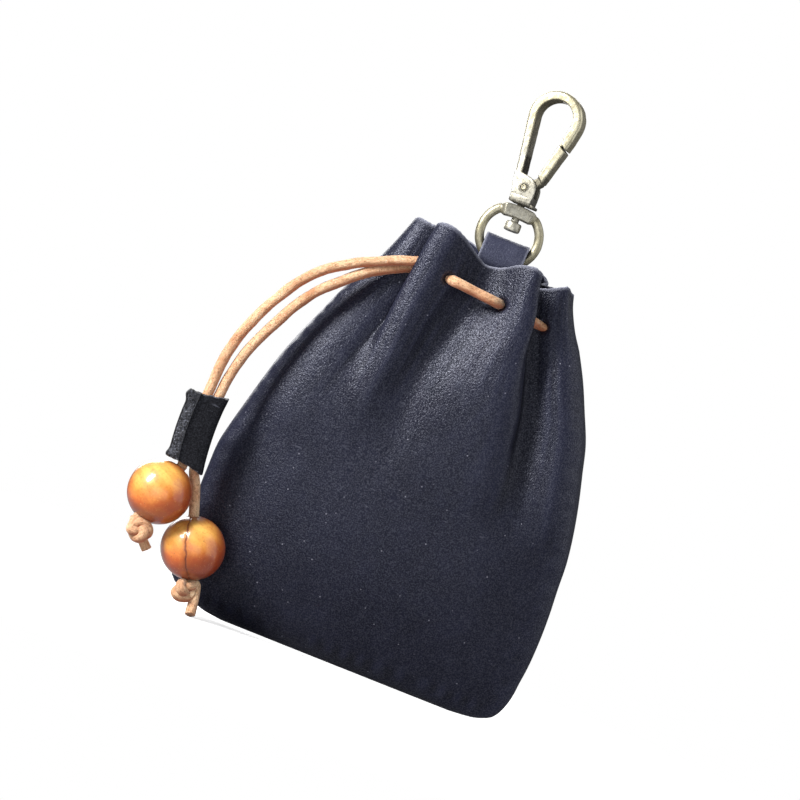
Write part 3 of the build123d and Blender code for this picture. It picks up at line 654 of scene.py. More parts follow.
BACK_LINES = np.array([
    (-29.8, 0.0, -24.5, 0.0, 121.4), (-29.1, 3.3, -24.6, 2.6, 122.0),
    (-26.6, 5.9, -23.2, 5.0, 122.4), (-22.4, 6.7, -20.0, 5.9, 121.4),
    (-18.7, 5.8, -17.0, 5.2, 120.6), (-17.3, 8.2, -16.0, 7.8, 121.2),
    (-18.3, 11.4, -16.8, 10.8, 122.4), (-15.4, 13.4, -14.2, 13.2, 123.2),
    (-11.0, 12.6, -10.4, 12.7, 123.0), (-6.4, 9.8, -6.2, 9.6, 121.6),
    (-1.6, 8.0, -1.6, 7.6, 120.4), (3.4, 7.9, 3.2, 7.5, 120.4),
    (7.8, 9.6, 7.2, 9.2, 121.2), (11.4, 12.4, 10.6, 12.2, 122.1),
    (14.8, 13.3, 13.5, 13.2, 121.6), (17.9, 11.6, 15.9, 11.2, 119.9),
    (17.0, 8.4, 15.2, 8.0, 118.8), (18.0, 5.6, 16.0, 5.2, 118.4),
    (21.4, 6.4, 18.9, 5.8, 119.0), (25.0, 5.6, 21.6, 4.9, 119.4),
    (27.2, 3.0, 23.2, 2.6, 118.8), (27.8, 0.0, 23.4, 0.0, 118.3)])
# how far the back's folds have formed at z = 84: line number, share
BACK_FOLD_LINE = [0, 3, 5, 8, 12, 15, 17, 21]
BACK_FOLD_SHARE = [0.25, 0.35, 0.55, 0.75, 0.45, 0.72, 0.85, 0.25]
# x, z of the dips where the cord passes through
FRONT_HOLES = [(-10.3, 109.75), (5.6, 108.75), (18.6, 107.4)]
BACK_HOLES = [(-10.6, 110.0), (10.2, 108.2)]


def panel_rows():
    """Nominal height of each row up to NECK_Z, and its share of the way on to the mouth."""
    heights = [0, 0.12, 0.3, 0.55, 0.9, 1.35, 1.9, 2.6, 3.4, 4.3, 5.4, 6.6, 8.0, 9.6, 11.4, 13.2]
    for top, step in ((60, 1.5), (104.2, 0.85)):
        while heights[-1] < top:
            heights.append(heights[-1] + step / DETAIL)
    heights = [height for height in heights if height < NECK_Z]
    count = int(20 * DETAIL)
    rises = [0.0] * len(heights) + [i / count for i in range(count + 1)]
    return np.array(heights + [NECK_Z] * (count + 1)), np.array(rises)


def fold_sections(side, share):
    """Heights of the key sections, their points at each column, and the mouth's height.

    Section points are x in -1..1 across the bag and y as a share of the half depth.
    """
    lines = FRONT_LINES if side < 0 else BACK_LINES
    fine = np.linspace(0, len(lines) - 1, 3000)
    params = np.interp(share, arc_share(catmull(lines[:, :2], fine)), fine)
    columns = catmull(lines, params)

    def as_shares(points, mid, half, height):
        x = (points[:, 0] - mid) / half
        return np.stack([x, points[:, 1] / lookup(HALF_DEPTH, height)], 1)

    neck = as_shares(columns[:, :2], -1.0, 28.8, 110)
    mouth = as_shares(columns[:, 2:4], -0.55, 23.95, 122)
    angle = np.linspace(0, PI, 2000)
    ellipse = np.stack([-np.cos(angle), side * np.sin(angle) ** 0.80], 1)
    ellipse_share = arc_share(ellipse * np.array([50.0, 13.1]))
    if side < 0:
        share = np.interp(params, fine, arc_share(catmull(FRONT_LOWER[64], fine)))
    base = interp_columns(share, ellipse_share, ellipse)
    sections = [(BASE_Z, base)]
    if side < 0:
        for height, controls in FRONT_LOWER.items():
            points = catmull(controls, params)
            first, last = points[0, 0], points[-1, 0]
            middle, half = (first + last) / 2, (last - first) / 2
            sections.append((height, as_shares(points, middle, half, height)))
    else:
        formed = np.interp(params, BACK_FOLD_LINE, BACK_FOLD_SHARE) * 0.62
        sections.append((84.0, base + (neck - base) * formed[:, None]))
    sections += [(110.0, neck), (122.0, mouth)]
    heights, points = zip(*sections)
    return np.array(heights, float), np.array(points), columns[:, 4]


def panel_surface(side, share):
    """Outer surface of a panel before its fine relief, (rows, columns, 3)."""
    heights, rises = panel_rows()
    keys, sections, mouth_z = fold_sections(side, share)
    level = heights + MOUTH_RISE * rises
    slopes = np.gradient(sections, keys, axis=0)
    slopes[0] = 0
    spot = hermite(keys, sections, slopes, level)
    left, right, depth = (lookup(table, level)[:, None] for table in (LEFT, RIGHT, HALF_DEPTH))
    return np.stack([(left + right) / 2 + (right - left) / 2 * spot[:, :, 0],
                     depth * spot[:, :, 1],
                     heights[:, None] + (mouth_z - NECK_Z) * rises[:, None]], -1)


def outward(surface, side):
    return -side * unit(np.cross(np.gradient(surface, axis=1), np.gradient(surface, axis=0)))


def panel_relief(surface, share, from_edge, side):
    """Outward displacement: waves, gathers under the cord and puckers along the seams."""
    x, z = surface[:, :, 0], surface[:, :, 2]
    seed = 3 if side < 0 else 9
    relief = 0.75 * noise(surface * (0.030, 0.02, 0.024) + seed, seed)
    relief += 0.26 * noise(surface * (0.075, 0.05, 0.055) + 7, seed + 1)
    relief += 0.035 * layered_noise(surface * 0.30, 2, seed + 2)
    coarse = plane_noise(share * 46, z * 0.045, seed + 4)
    fine = plane_noise(share * 90, z * 0.08, seed + 5)
    gathered = smoothstep(66, 104, z) * (1 - 0.55 * smoothstep(112, 121, z))
    relief += gathered * ((0.10 if side < 0 else 0.22) * coarse + 0.035 * fine)
    side_pucker = np.sin(z * 1.25 + 2.0 * np.sin(z * 0.21)) * bell(from_edge, 0.035, 0.022)
    relief += 0.20 * side_pucker * smoothstep(4, 12, z) * (1 - smoothstep(96, 106, z))
    bottom_pucker = np.sin(x * 1.15 + 1.5 * np.sin(x * 0.17)) * bell(z, 3.4, 2.2)
    relief += 0.16 * bottom_pucker * smoothstep(0.02, 0.1, from_edge)
    return relief * smoothstep(0.0, 0.05, from_edge) * smoothstep(0, 5, z)


def panel_faces(outer_rows, lip_rows, columns, side):
    """Outer skin, lip and inner skin as one sheet, closed at both sides and the bottom."""
    total = 2 * outer_rows + lip_rows
    last = columns - 1
    rim = []
    for row in range(outer_rows - 1):
        far = total - 1 - row
        low, high = row * columns, (row + 1) * columns
        far_high, far_low = (far - 1) * columns, far * columns
        rim += [(low, high, far_high, far_low),
                (low + last, far_low + last, far_high + last, high + last)]
    lip = [(outer_rows - 1 + i) * columns for i in range(lip_rows + 2)]
    rim += [tuple(lip), tuple(i + last for i in lip[::-1])]
    inside = (total - 1) * columns
    rim += [(i + 1, i, inside + i, inside + i + 1) for i in range(last)]
    if side > 0:
        rim = [face[::-1] for face in rim]
    return grid(total, columns, flip=side > 0, closed=False) + rim


def make_panel(name, side):
    """One leather panel; side is -1 for the front and 1 for the back."""
    columns = int(300 * DETAIL)
    line_share = np.linspace(0, 1, columns)
    surface = panel_surface(side, line_share)
    rows = len(surface)
    share = np.broadcast_to(line_share, (rows, columns))
    from_edge = np.minimum(share, 1 - share)
    z = surface[:, :, 2]
    normal = outward(surface, side)
    outer = surface + normal * panel_relief(surface, share, from_edge, side)[:, :, None]
    for hole_x, hole_z in (FRONT_HOLES if side < 0 else BACK_HOLES):
        distance = np.hypot(outer[:, :, 0] - hole_x, outer[:, :, 2] - hole_z)
        on_face = side * outer[:, :, 1] > 3.2
        outer = outer - normal * (1.2 * np.exp(-(distance / 1.45) ** 4) * on_face)[:, :, None]
    # the panels meet at the side and bottom seams
    outer[:, [0, -1], 1] = side * 0.02
    outer[0, :, 1] = side * np.maximum(side * outer[0, :, 1], 0.02)
    normal = outward(outer, side)
    # raised folds wear and hollows take painted shade, judged by curvature across the columns
    bend = -((np.roll(outer, 3, 1) + np.roll(outer, -3, 1) - 2 * outer) * normal).sum(2)
    bend[:, :4] = 0
    bend[:, -4:] = 0
    outer[-1, :, 2] += 0.10 * plane_noise(line_share * 160, 0.0, (3 if side < 0 else 9) + 8)
    # thickness tapers to almost nothing at the seams
    thickness = LEATHER * smoothstep(0.0, 0.03, from_edge) * smoothstep(0, 3.0, z)
    inner = outer - normal * np.maximum(thickness, 0.08)[:, :, None]
    # rounded lip between the outer and inner skins
    middle, half = (outer[-1] + inner[-1]) / 2, (outer[-1] - inner[-1]) / 2
    lip = [middle + half * math.cos(angle) + np.array([0, 0, 0.42 * math.sin(angle)])
           for angle in np.radians((35, 75, 105, 145))]
    sheet = np.concatenate([outer, lip, inner[::-1]], 0)
    is_edge = np.r_[np.zeros(rows - 1), 0.45, np.ones(4), np.zeros(rows)]
    is_inner = np.r_[np.zeros(rows + 3), 0.6, np.ones(rows)]
    wear = np.full(sheet.shape[:2], 0.4)
    wear[:rows] = np.clip(0.5 + bend * 3.0, 0, 1)
    return make_mesh(name, sheet, panel_faces(rows, len(lip), columns, side), [NAVY_LEATHER],
                     {"wear": wear, "edge": np.repeat(is_edge, columns),
                      "inner": np.repeat(is_inner, columns)})


register(make_panel("front_panel_leather", -1), "bag", "front_panel")
register(make_panel("back_panel_leather", 1), "bag", "back_panel")

# ------------------------------------------------------------------ hanging strap
STRAP_LEFT, STRAP_RIGHT = -5.15, 7.35
STRAP_ROUND = 0.34      # radius of the long edges
# y, z of the strap's middle, up from the back, over the top and down
STRAP_LINE = [
    (5.0, 98.6), (5.0, 103), (4.9, 107.5), (4.4, 113), (3.68, 118.6), (3.6, 122.2),
    (2.8, 124.8), (1.4, 125.75), (0, 125.85), (-1.4, 125.6), (-2.8, 124.5), (-3.6, 122.0),
    (-3.68, 118.6), (-2.2, 114.8), (1.2, 109.8), (3.2, 106.6), (3.6, 103), (3.6, 98.6)]


def make_strap():
    count, flat = 150, 26
    line = even_curve(STRAP_LINE, count)
    tangent = unit(np.gradient(line, axis=0))
    into_loop = np.stack([-tangent[:, 1], tangent[:, 0]], 1)
    # cross-section: x across the strap and offset into the loop
    half = LEATHER / 2
    left, right = STRAP_LEFT + STRAP_ROUND, STRAP_RIGHT - STRAP_ROUND
    side, quarter, skip = half - STRAP_ROUND, PI / 2, 0.25
    profile = np.vstack([
        np.linspace((left, half), (right, half), flat),
        arc((right, side), STRAP_ROUND, quarter - skip, 0, 4),
        arc((right, -side), STRAP_ROUND, 0, skip - quarter, 4),
        np.linspace((right, -half), (left, -half), flat),
        arc((left, -side), STRAP_ROUND, -quarter - skip, -PI, 4),
        arc((left, side), STRAP_ROUND, PI, quarter + skip, 4)])
    size = len(profile)
    edge = np.repeat([0.0, 1, 0, 1], [flat, 8, flat, 8])
    edge[[0, flat - 1, flat + 8, 2 * flat + 7]] = 0.6
    inner = np.repeat([1, 0.3, 0, 0.3], [flat, 8, flat, 8])
    yz = line[:, None] + into_loop[:, None] * profile[None, :, 1:]
    across = np.broadcast_to(profile[:, :1], (count, size, 1))
    verts = np.concatenate([across, yz], 2).reshape(-1, 3)
    sway_y, sway_z = noise(verts * 0.25, 41), noise(verts * 0.25 + 9, 42)
    verts[:, 1] += 0.10 * sway_y
    verts[:, 2] += 0.10 * sway_z
    verts[:, 0] += 0.12 * noise(verts * (0.02, 0.3, 0.3), 43)
    return make_mesh("hanging_loop_leather", verts,
                     grid(count, size) + flat_caps(count, size), [LIT_DUSTY_STRAP_LEATHER],
                     {"wear": np.tile(np.where(edge > 0, 0.7, 0.45), count),
                      "edge": np.tile(edge * 0.55, count), "inner": np.tile(inner, count)})


register(make_strap(), "bag", "hanging_loop")


# ------------------------------------------------------------------ cords
def path_frames(path):
    """Tangent and two normals along a path, without twist."""
    tangent = unit(np.gradient(path, axis=0))
    up = np.array([0.0, 1.0, 0.0]) if abs(tangent[0][1]) < 0.9 else np.array([1.0, 0, 0])
    normal = np.zeros_like(path)
    normal[0] = unit(np.cross(tangent[0], up))
    for i in range(1, len(path)):
        carried = normal[i - 1]
        normal[i] = unit(carried - tangent[i] * np.dot(carried, tangent[i]))
    return tangent, normal, np.cross(tangent, normal)


def make_cord(name, controls, radius, seed, cut_end=False, spacing=0.30):
    """Round leather cord of uneven girth along a smooth path; cut_end roughens its far end."""
    sides = 28
    count = max(24, int(arc_length(controls)[-1] / (spacing / DETAIL)))
    centre = even_curve(controls, count)
    tangent, normal, binormal = path_frames(centre)
    length, turn = arc_length(centre), around(sides)
    angle, along = np.meshgrid(turn, length)
    cos, sin = np.cos(angle), np.sin(angle)
    skin = np.stack([cos * 1.1, sin * 1.1, along * 0.45], -1)
    girth = radius * (1 + 0.035 * plane_noise(along * 0.22, 0.0, seed)
                      + 0.030 * noise(skin * (1.6, 1.6, 0.7), seed + 1)
                      + 0.022 * noise(skin * (4.5, 4.5, 1.6), seed + 2)
                      + 0.012 * noise(skin * (9, 9, 5.0), seed + 3))
    spokes = cos[:, :, None] * normal[:, None] + sin[:, :, None] * binormal[:, None]
    tube = centre[:, None] + girth[:, :, None] * spokes
    verts, faces = tube.reshape(-1, 3), grid(count, sides)
    along, bearing, edge = [along.ravel()], [angle.ravel() * 0.9], [np.zeros(along.size)]
    cap_size = 2 * sides + 1
    for i, sign in ((0, -1), (count - 1, 1)):
        cut = cut_end and sign > 0
        ragged = 0.10 * np.sin(3 * turn + seed) * cut
        cap, cap_faces = domed_cap(
            tube[i], i * sides + np.arange(sides), len(verts), centre[i], tangent[i] * sign,
            steps=((0.90, 0.10 + ragged), (0.55, 0.16 + ragged)),
            tip=0.12 if cut else 0.3, flip=sign < 0)
        verts = np.vstack([verts, cap])
        faces += cap_faces
        along.append(np.full(cap_size, length[i]))
        bearing.append(np.r_[turn * 0.9, turn * 0.9, 0])
        edge.append(np.ones(cap_size))
    return make_mesh(name, verts, faces, [CORD],
                     {"along": np.concatenate(along), "around": np.concatenate(bearing),
                      "edge": np.concatenate(edge)})


# x, y of the cord threaded round the neck; it slopes down to the right
NECK_RUN = [
    (-15.6, -8.9), (-13.4, -9.0), (-11.7, -9.2), (-10.2, -9.9), (-8.9, -11.2), (-7.7, -12.0),
    (-6.0, -12.1), (-2, -11.7), (0.6, -11.6), (2.2, -11.4), (3.5, -10.9), (4.5, -9.9),
    (5.2, -8.6), (6.1, -7.5), (8.8, -8.2), (11.0, -8.8), (12.9, -8.6), (14.2, -7.9),
    (15.1, -6.9), (16.0, -5.5), (17.1, -4.1), (19.8, -3.0), (22.2, -1.8), (24.2, 0.9),
    (22.9, 3.7), (20.4, 5.6), (18.2, 7.4), (15.4, 9.2), (12.2, 10.6), (9.4, 11.9),
    (5.5, 11.2), (1.0, 10.4), (-4, 10.9), (-8.6, 12.0), (-11.6, 11.0), (-15.0, 9.2),
    (-18.2, 7.6), (-21.6, 6.0), (-24.6, 3.4), (-26.0, 0.4), (-25.0, -2.6), (-23.6, -4.4)]
neck_cord = make_cord("drawstring_neck_cord", [(x, y, 109.0 - 0.087 * x) for x, y in NECK_RUN],
                      radius=1.45, seed=5)
register(neck_cord, "bag", "drawstring_neck_run")

# the strands, slide and beads hang in an upright plane through this point of the bag
STRAND_TURN = math.radians(11.5)
STRAND_X, STRAND_Y = -21.3, -9.0


def to_bag(points):
    return turned(points, (STRAND_X, STRAND_Y), STRAND_TURN)


def direction_to_bag(direction):
    return to_bag(direction) - to_bag((0, 0, 0))


# x, y, z of each strand's start inside the bag
UPPER_START = [(-12.6, -8.4, 114.6), (-16.2, -8.9, 113.0)]
LOWER_START = [(-13.4, -7.4, 112.6), (-16.8, -7.9, 111.0)]
# x and z seen from the front, and distance behind the strands' plane
UPPER_STRAND = [
    (-20.6, 111.0, -0.95), (-25.0, 109.4, -0.6), (-29.7, 107.2, -0.35), (-33.8, 105.3, -0.1),
    (-37.6, 103.0, 0), (-41.6, 100.3, 0), (-45.0, 97.1, 0), (-48.3, 93.0, 0), (-51.2, 88.1, 0),
    (-53.4, 84.0, 0), (-55.15, 79.8, 0), (-56.7, 75.8, 0), (-57.8, 71.8, 0), (-58.5, 68.2, 0),
    (-58.9, 64.6, 0), (-59.0, 61.5, 0), (-59.05, 59.2, 0), (-59.25, 54, 0), (-59.2, 48, 0),
    (-58.95, 42, 0), (-58.45, 36.3, 0)]
LOWER_STRAND = [
    (-20.9, 109.0, 1.25), (-25.4, 106.8, 0.9), (-30.7, 103.8, 0.5), (-34.4, 100.9, 0.2),
    (-37.6, 97.9, 0), (-40.5, 95.2, 0), (-43.1, 92.2, 0), (-46.3, 87.4, 0), (-48.8, 82.4, 0),
    (-51.0, 77.9, 0), (-52.8, 73.7, 0), (-54.0, 70.2, 0), (-54.9, 66.7, 0), (-55.6, 63.0, 0),
    (-56.0, 59.9, 0), (-56.3, 54, 0), (-56.25, 48, 0), (-56.0, 42, 0), (-55.35, 36.9, 0)]

for name, part, start, strand, seed in (
        ("drawstring_strand_upper", "drawstring_strand_a", UPPER_START, UPPER_STRAND, 21),
        ("drawstring_strand_lower", "drawstring_strand_b", LOWER_START, LOWER_STRAND, 33)):
    hanging = to_bag([((x - STRAND_X) / math.cos(STRAND_TURN), behind, z)
                      for x, z, behind in strand])
    cord = make_cord(name, np.vstack([start, hanging]), radius=1.44, seed=seed)
    register(cord, "drawstring", part)

# ------------------------------------------------------------------ beads, tails and knots
# from here to the slide, points are (across, behind, z) in the strands' plane
STRAND_ARC_X, STRAND_ARC_Z = 37.9, 50.0     # centre of the arc the strands bend along
LOWER_ARC_R = 73.7
STRAND_GAP = 3.15                           # from the lower strand out to the upper
BEAD_R = 8.8
BORE_R, BORE_LIP = 1.6, 0.42                # bead's bore and the rounding of its mouths


def strand_arc(radius, degrees):
    angle = math.radians(degrees)
    return np.array((STRAND_ARC_X - radius * math.cos(angle), 0,
                     STRAND_ARC_Z + radius * math.sin(angle)))


PIVOT_A = strand_arc(LOWER_ARC_R + STRAND_GAP, -10.1)
PIVOT_B = strand_arc(LOWER_ARC_R, -10.1)
BEAD_A = np.array((-41.15, -1.2, 27.5))
BEAD_B = np.array((-26.75, 0.64, 16.45))
# unit directions down the two bores
BORE_A = unit(BEAD_A - PIVOT_A)
BORE_B = unit(BEAD_B - np.array((-29.95, 1.3, 25.3)))


def make_bead(name, centre, bore, seed, crack=None):
    """Bored ball; crack is the angle of a groove from its front, or None."""
    centre, bore = to_bag(centre), direction_to_bag(bore)
    sideways = unit(np.cross(bore, (0, 1, 0)))
    forward = np.cross(bore, sideways)
    lip_h = math.sqrt((BEAD_R - BORE_LIP) ** 2 - (BORE_R + BORE_LIP) ** 2)
    lip_angle = math.atan2(BORE_R + BORE_LIP, lip_h)
    # radius and height up the bore: ball, lower mouth, bore, upper mouth
    mouth = arc((BORE_R + BORE_LIP, -lip_h), BORE_LIP, -PI / 2 - 0.25, -PI, 5)
    profile = np.vstack([
        arc((0, 0), BEAD_R, PI / 2 - lip_angle, lip_angle - PI / 2, 80), mouth,
        np.linspace((BORE_R, -lip_h), (BORE_R, lip_h), 14)[1:-1], mouth[::-1] * (1, -1)])
    rows, sides = len(profile), 112
    angle = around(sides)
    spokes = np.sin(angle)[:, None] * sideways + np.cos(angle)[:, None] * forward
    radius, height = profile[:, 0, None, None], profile[:, 1, None, None]
    rays = radius * spokes - height * bore
    # turned by hand: not a perfect ball
    skin = (np.linalg.norm(rays, axis=2) > BEAD_R - 0.3)[:, :, None]
    wobble = noise((centre + rays) * 0.11 + seed, seed)[:, :, None]
    rays = rays * (1 + 0.006 * wobble * skin)
    if crack is not None:
        away = (angle - crack + PI) % (2 * PI) - PI
        rays = rays * (1 - 0.014 * bell(away, 0, 0.035)[None, :, None] * skin)
    verts = centre + rays
    first = np.arange(sides)
    closing = band((rows - 1) * sides + first, first, flip=True)
    faces = grid(rows, sides, flip=True) + [face[::-1] for face in closing]
    # painted light: paler up and to the left front, darker away from it
    light_side = np.array((-0.42, -0.48, 0.77))
    tone = 0.5 + 0.5 * (unit(rays) @ light_side) + 0.05 * noise(verts * 0.35, seed + 2)
    material = bead_material("wood_amber_" + name[-1], seed * 0.13, crack)
    return make_mesh(name, verts, faces, [material],
                     {"axis": np.repeat(profile[:, 1] / BEAD_R, sides) * 0.5 + 0.5,
                      "angle": np.tile((angle + PI) % (2 * PI) - PI, rows), "tone": tone})


register(make_bead("wood_bead_upper_a", BEAD_A, BORE_A, seed=3), "bead_a", "wood_bead_a")
register(make_bead("wood_bead_lower_b", BEAD_B, BORE_B, seed=8, crack=-0.16), "bead_b",
         "wood_bead_b")


def knot_path(origin, down, bulk, tip, tall, wide):
    """Tight overhand knot from origin along down, its body towards bulk, ending at tip."""
    scale, entry = 0.98, 2.45       # size of the knot; where the cord enters across it
    across = -unit(bulk - down * np.dot(bulk, down))
    through = np.cross(across, down)
    t = np.linspace(0.42, 2 * PI - 0.42, 24)
    reach = 2 + np.cos(3 * t)
    local = np.stack([(reach * np.cos(2 * t) - entry) * wide,
                      reach * np.sin(2 * t) * tall + 2.4, 1.05 * np.sin(3 * t)], 1)
    local = np.vstack([(0, 0, 0.3), local])
    knot = origin + scale * local @ np.array([across, down, through])
    last = knot[-1]
    onward = unit(last - knot[-2])
    leaving = last + onward * min(1.4, np.linalg.norm(tip - last) * 0.35)
    return [*knot, leaving, leaving * 0.5 + tip * 0.5 + onward * 0.3, tip]


def make_tail(name, pivot, lead, bead, bore, bulk, tip, seed, tall, wide):
    """Cord from the slide, through a bead, to a knot; tip is in the bag's grid."""
    down, centre = direction_to_bag(bore), to_bag(bead)
    points = [to_bag(point) for point in (pivot, *lead)]
    points += [centre + down * distance for distance in (-8.4, -4, 0, 4, 7.6)]
    points += knot_path(centre + down * 9.0, down, direction_to_bag(bulk), np.array(tip),
                        tall, wide)
    return make_cord(name, np.array(points), radius=1.42, seed=seed, cut_end=True, spacing=0.26)


tail = make_tail("cord_tail_upper", PIVOT_A, [], BEAD_A, BORE_A, bulk=(1.0, -0.35, 0.1),
                 tip=(-58.9, -18.6, 11.9), seed=51, tall=0.74, wide=1.0)
register(tail, "tail_a", "cord_tail_a")
LOWER_LEAD = [(-33.9, 0.75, 35.1), (-32.65, 1.3, 33.0), (-31.25, 1.42, 29.2)]
tail = make_tail("cord_tail_lower", PIVOT_B, LOWER_LEAD, BEAD_B, BORE_B,
                 bulk=(-0.75, -0.65, 0.0), tip=(-41.6, -17.6, -0.2), seed=63, tall=0.66, wide=1.22)
register(tail, "tail_b", "cord_tail_b")

# ------------------------------------------------------------------ cord slide
SLIDE_BOTTOM, SLIDE_TOP = 36.9, 56.6
# radii that give the slide's centre line: its bend with height and its place across
SLIDE_BEND_R, SLIDE_ARC_R = 75.6, 75.35
# cross-section (across, behind): outer loop, then the hole for both cords
SLIDE_OUTER = [
    (4.3, 0.2), (4.1, 1.9), (3.0, 2.85), (0.6, 3.05), (-2.2, 3.0), (-4.2, 2.6), (-5.6, 1.2),
    (-6.3, -0.8), (-6.35, -2.6), (-6.15, -3.35), (-5.2, -3.55), (-4.2, -3.55), (-3.75, -3.4),
    (-3.62, -3.1), (-3.2, -2.9), (-1.0, -3.0), (1.4, -3.0), (3.2, -2.75), (4.1, -1.7)]
SLIDE_HOLE = [
    (3.5, 0.0), (3.1, 1.4), (1.4, 1.82), (-0.6, 1.88), (-2.8, 1.84), (-4.35, 1.3),
    (-4.85, 0.0), (-4.35, -1.35), (-2.8, -1.86), (-0.6, -1.9), (1.4, -1.86), (3.1, -1.4)]
RAW_FROM, RAW_TO = 8.6, 12.9    # stretch of SLIDE_OUTER, by point number, that is a cut edge
BEAD_CLEARANCE = 0.25


def even_loop(controls, count):
    """Even points on a closed curve, starting towards +across, and their parameters."""
    params = np.linspace(0, len(controls), 1200, endpoint=False)
    path = catmull(controls, params, closed=True)
    path = np.vstack([path, path[:1]])
    length = arc_length(path)
    at = np.linspace(0, length[-1], count, endpoint=False)
    points = interp_columns(at, length, path)
    start = int(np.argmin(np.abs(np.arctan2(points[:, 1], points[:, 0]))))
    params = np.interp(at, length, np.r_[params, len(controls)])
    return np.roll(points, -start, axis=0), np.roll(params, -start)


def clear_of_bead(verts):
    """Lift the lower edge just clear of the upper bead wherever that bead swings."""
    behind, z = BEAD_A[1] - PIVOT_A[1], BEAD_A[2] - PIVOT_A[2]
    for degrees in range(0, 22, 2):
        cos, sin = math.cos(math.radians(degrees)), math.sin(math.radians(degrees))
        centre = to_bag((BEAD_A[0], PIVOT_A[1] + behind * cos + z * sin,
                         PIVOT_A[2] - behind * sin + z * cos))
        room = (BEAD_R + BEAD_CLEARANCE) ** 2 - ((verts[:, :2] - centre[:2]) ** 2).sum(1)
        top = centre[2] + np.sqrt(np.maximum(room, 0))
        verts[:, 2] = np.where((room > 0) & (verts[:, 2] < top), top, verts[:, 2])


def make_slide():
    """Leather folded round both cords onto itself; the cut edges stand to the front left."""
    sides, rows = 120, 90
    outer, params = even_loop(SLIDE_OUTER, sides)
    hole, _ = even_loop(SLIDE_HOLE, sides)
    share = np.linspace(0, 1, rows)[:, None]
    level = SLIDE_BOTTOM + (SLIDE_TOP - SLIDE_BOTTOM) * share
    bend = np.arcsin((level - STRAND_ARC_Z) / SLIDE_BEND_R)
    centre = STRAND_ARC_X - SLIDE_ARC_R * np.cos(bend)
    from_middle = np.abs((share - 0.5) * 2)

    def skewed(across):
        """Height with the ends cut askew."""
        slant = np.where(share > 0.5, 0.9, np.where(across > 0, -1.25, -0.55))
        return level + slant * across / 5 * from_middle ** 3

    def stacked(across, behind, z):
        return np.stack(np.broadcast_arrays(centre + across, behind, z), -1).reshape(-1, 3)

    # the ends flare, most of all at the left, with a knob near the top
    across, behind = outer.T
    flare = bell(share, 0.97, 0.085) + 0.8 * bell(share, 0.03, 0.075)
    leftness = np.maximum(0.0, (-across - 3.4) / 3)
    at_left = np.minimum(leftness, 1.0)
    knob = bell(share, 0.93, 0.055) * np.minimum(leftness * 1.3, 1.0)
    in_front = behind < -1
    z = skewed(across) + 0.15 * from_middle ** 4 * np.sin(across * 2.1 + behind)
    z = z + 1.05 * np.maximum(0.0, share - 0.86) / 0.14 * at_left
    skin = stacked(across - 1.05 * np.where(share < 0.5, 1.0, 0.35) * flare * at_left
                   + 0.10 * flare * (across > 3) - 0.55 * knob,
                   behind * (1 + 0.05 * flare) - (0.70 * flare * at_left + 0.75 * knob) * in_front,
                   z)
    verts = np.vstack([skin, stacked(hole[:, 0], hole[:, 1], skewed(hole[:, 0]))])
    size = rows * sides
    raw = np.r_[np.tile((params > RAW_FROM) & (params < RAW_TO), rows), np.ones(size)]
    # flared ends rubbed paler; the inside of the hole darkened as painted shade
    wear = np.r_[np.repeat(0.45 + 0.4 * flare.ravel(), sides), np.full(size, 0.3)]
    # fibrous relief on the raw strip
    rough = raw * (np.arange(2 * size) < size)
    coarse, fine = layered_noise(verts * 1.1, 3, 71), noise(verts * 3.2, 75)
    verts[:, 1] -= rough * (0.22 * coarse + 0.20 * fine) + (1 - raw) * 0.05 * coarse
    verts[:, 0] += rough * 0.16 * noise(verts * 1.6 + 5, 77)
    verts = to_bag(verts)
    faces = grid(rows, sides, flip=True) + grid(rows, sides, base=size)
    face_materials = [int(raw[face[0]]) for face in faces]
    # rounded end faces between the outer loop and the hole
    for row, up in ((0, -1), (rows - 1, 1)):
        outside = row * sides + np.arange(sides)
        inside = size + outside
        loops = [outside]
        for inward, push in ((0.28, 0.22), (0.7, 0.20)):
            lip = verts[outside] * (1 - inward) + verts[inside] * inward
            lip[:, 2] += up * push
            loops.append(len(verts) + np.arange(sides))
            verts = np.vstack([verts, lip])
        loops.append(inside)
        for lower, upper in zip(loops, loops[1:]):
            quads = band(lower, upper)
            faces += quads if up < 0 else [quad[::-1] for quad in quads]
            face_materials += [1] * sides
        raw = np.r_[raw, np.ones(2 * sides)]
        wear = np.r_[wear, np.full(2 * sides, 0.6)]
    verts[:, 2] += 0.10 * layered_noise(verts * 1.7, 2, 81) * (raw > 0.5)
    clear_of_bead(verts)
    return make_mesh("cord_slide_leather", verts, faces, [BLACK_LEATHER, RAW_EDGE],
                     {"wear": wear, "edge": np.zeros(len(verts)), "inner": np.zeros(len(verts))},
                     face_materials)


register(make_slide(), "slide", "cord_slide")

# ------------------------------------------------------------------ brass castings
# the hook's plane: h across, t through from front to back, z up
HOOK_AXIS_X = 0.75
HOOK_TURN = math.radians(-18)
CROOK_CENTRE = (0.55, 161.9)            # h, z
CROOK_IN, CROOK_OUT = 5.2, 7.75         # radii of the crook's inner and outer edges


def hook_to_bag(h, t, z):
    points = np.stack(np.broadcast_arrays(h, t, z), -1)
    return turned(points, (HOOK_AXIS_X, 0), HOOK_TURN)


def make_brass(name, verts, faces, shade, grey):
    obj = make_mesh(name, verts, faces, [BRASS], {"shade": shade, "grey": grey})
    edit = bmesh.new()
    edit.from_mesh(obj.data)
    bmesh.ops.recalc_face_normals(edit, faces=edit.faces)
    edit.to_mesh(obj.data)
    edit.free()
    return obj


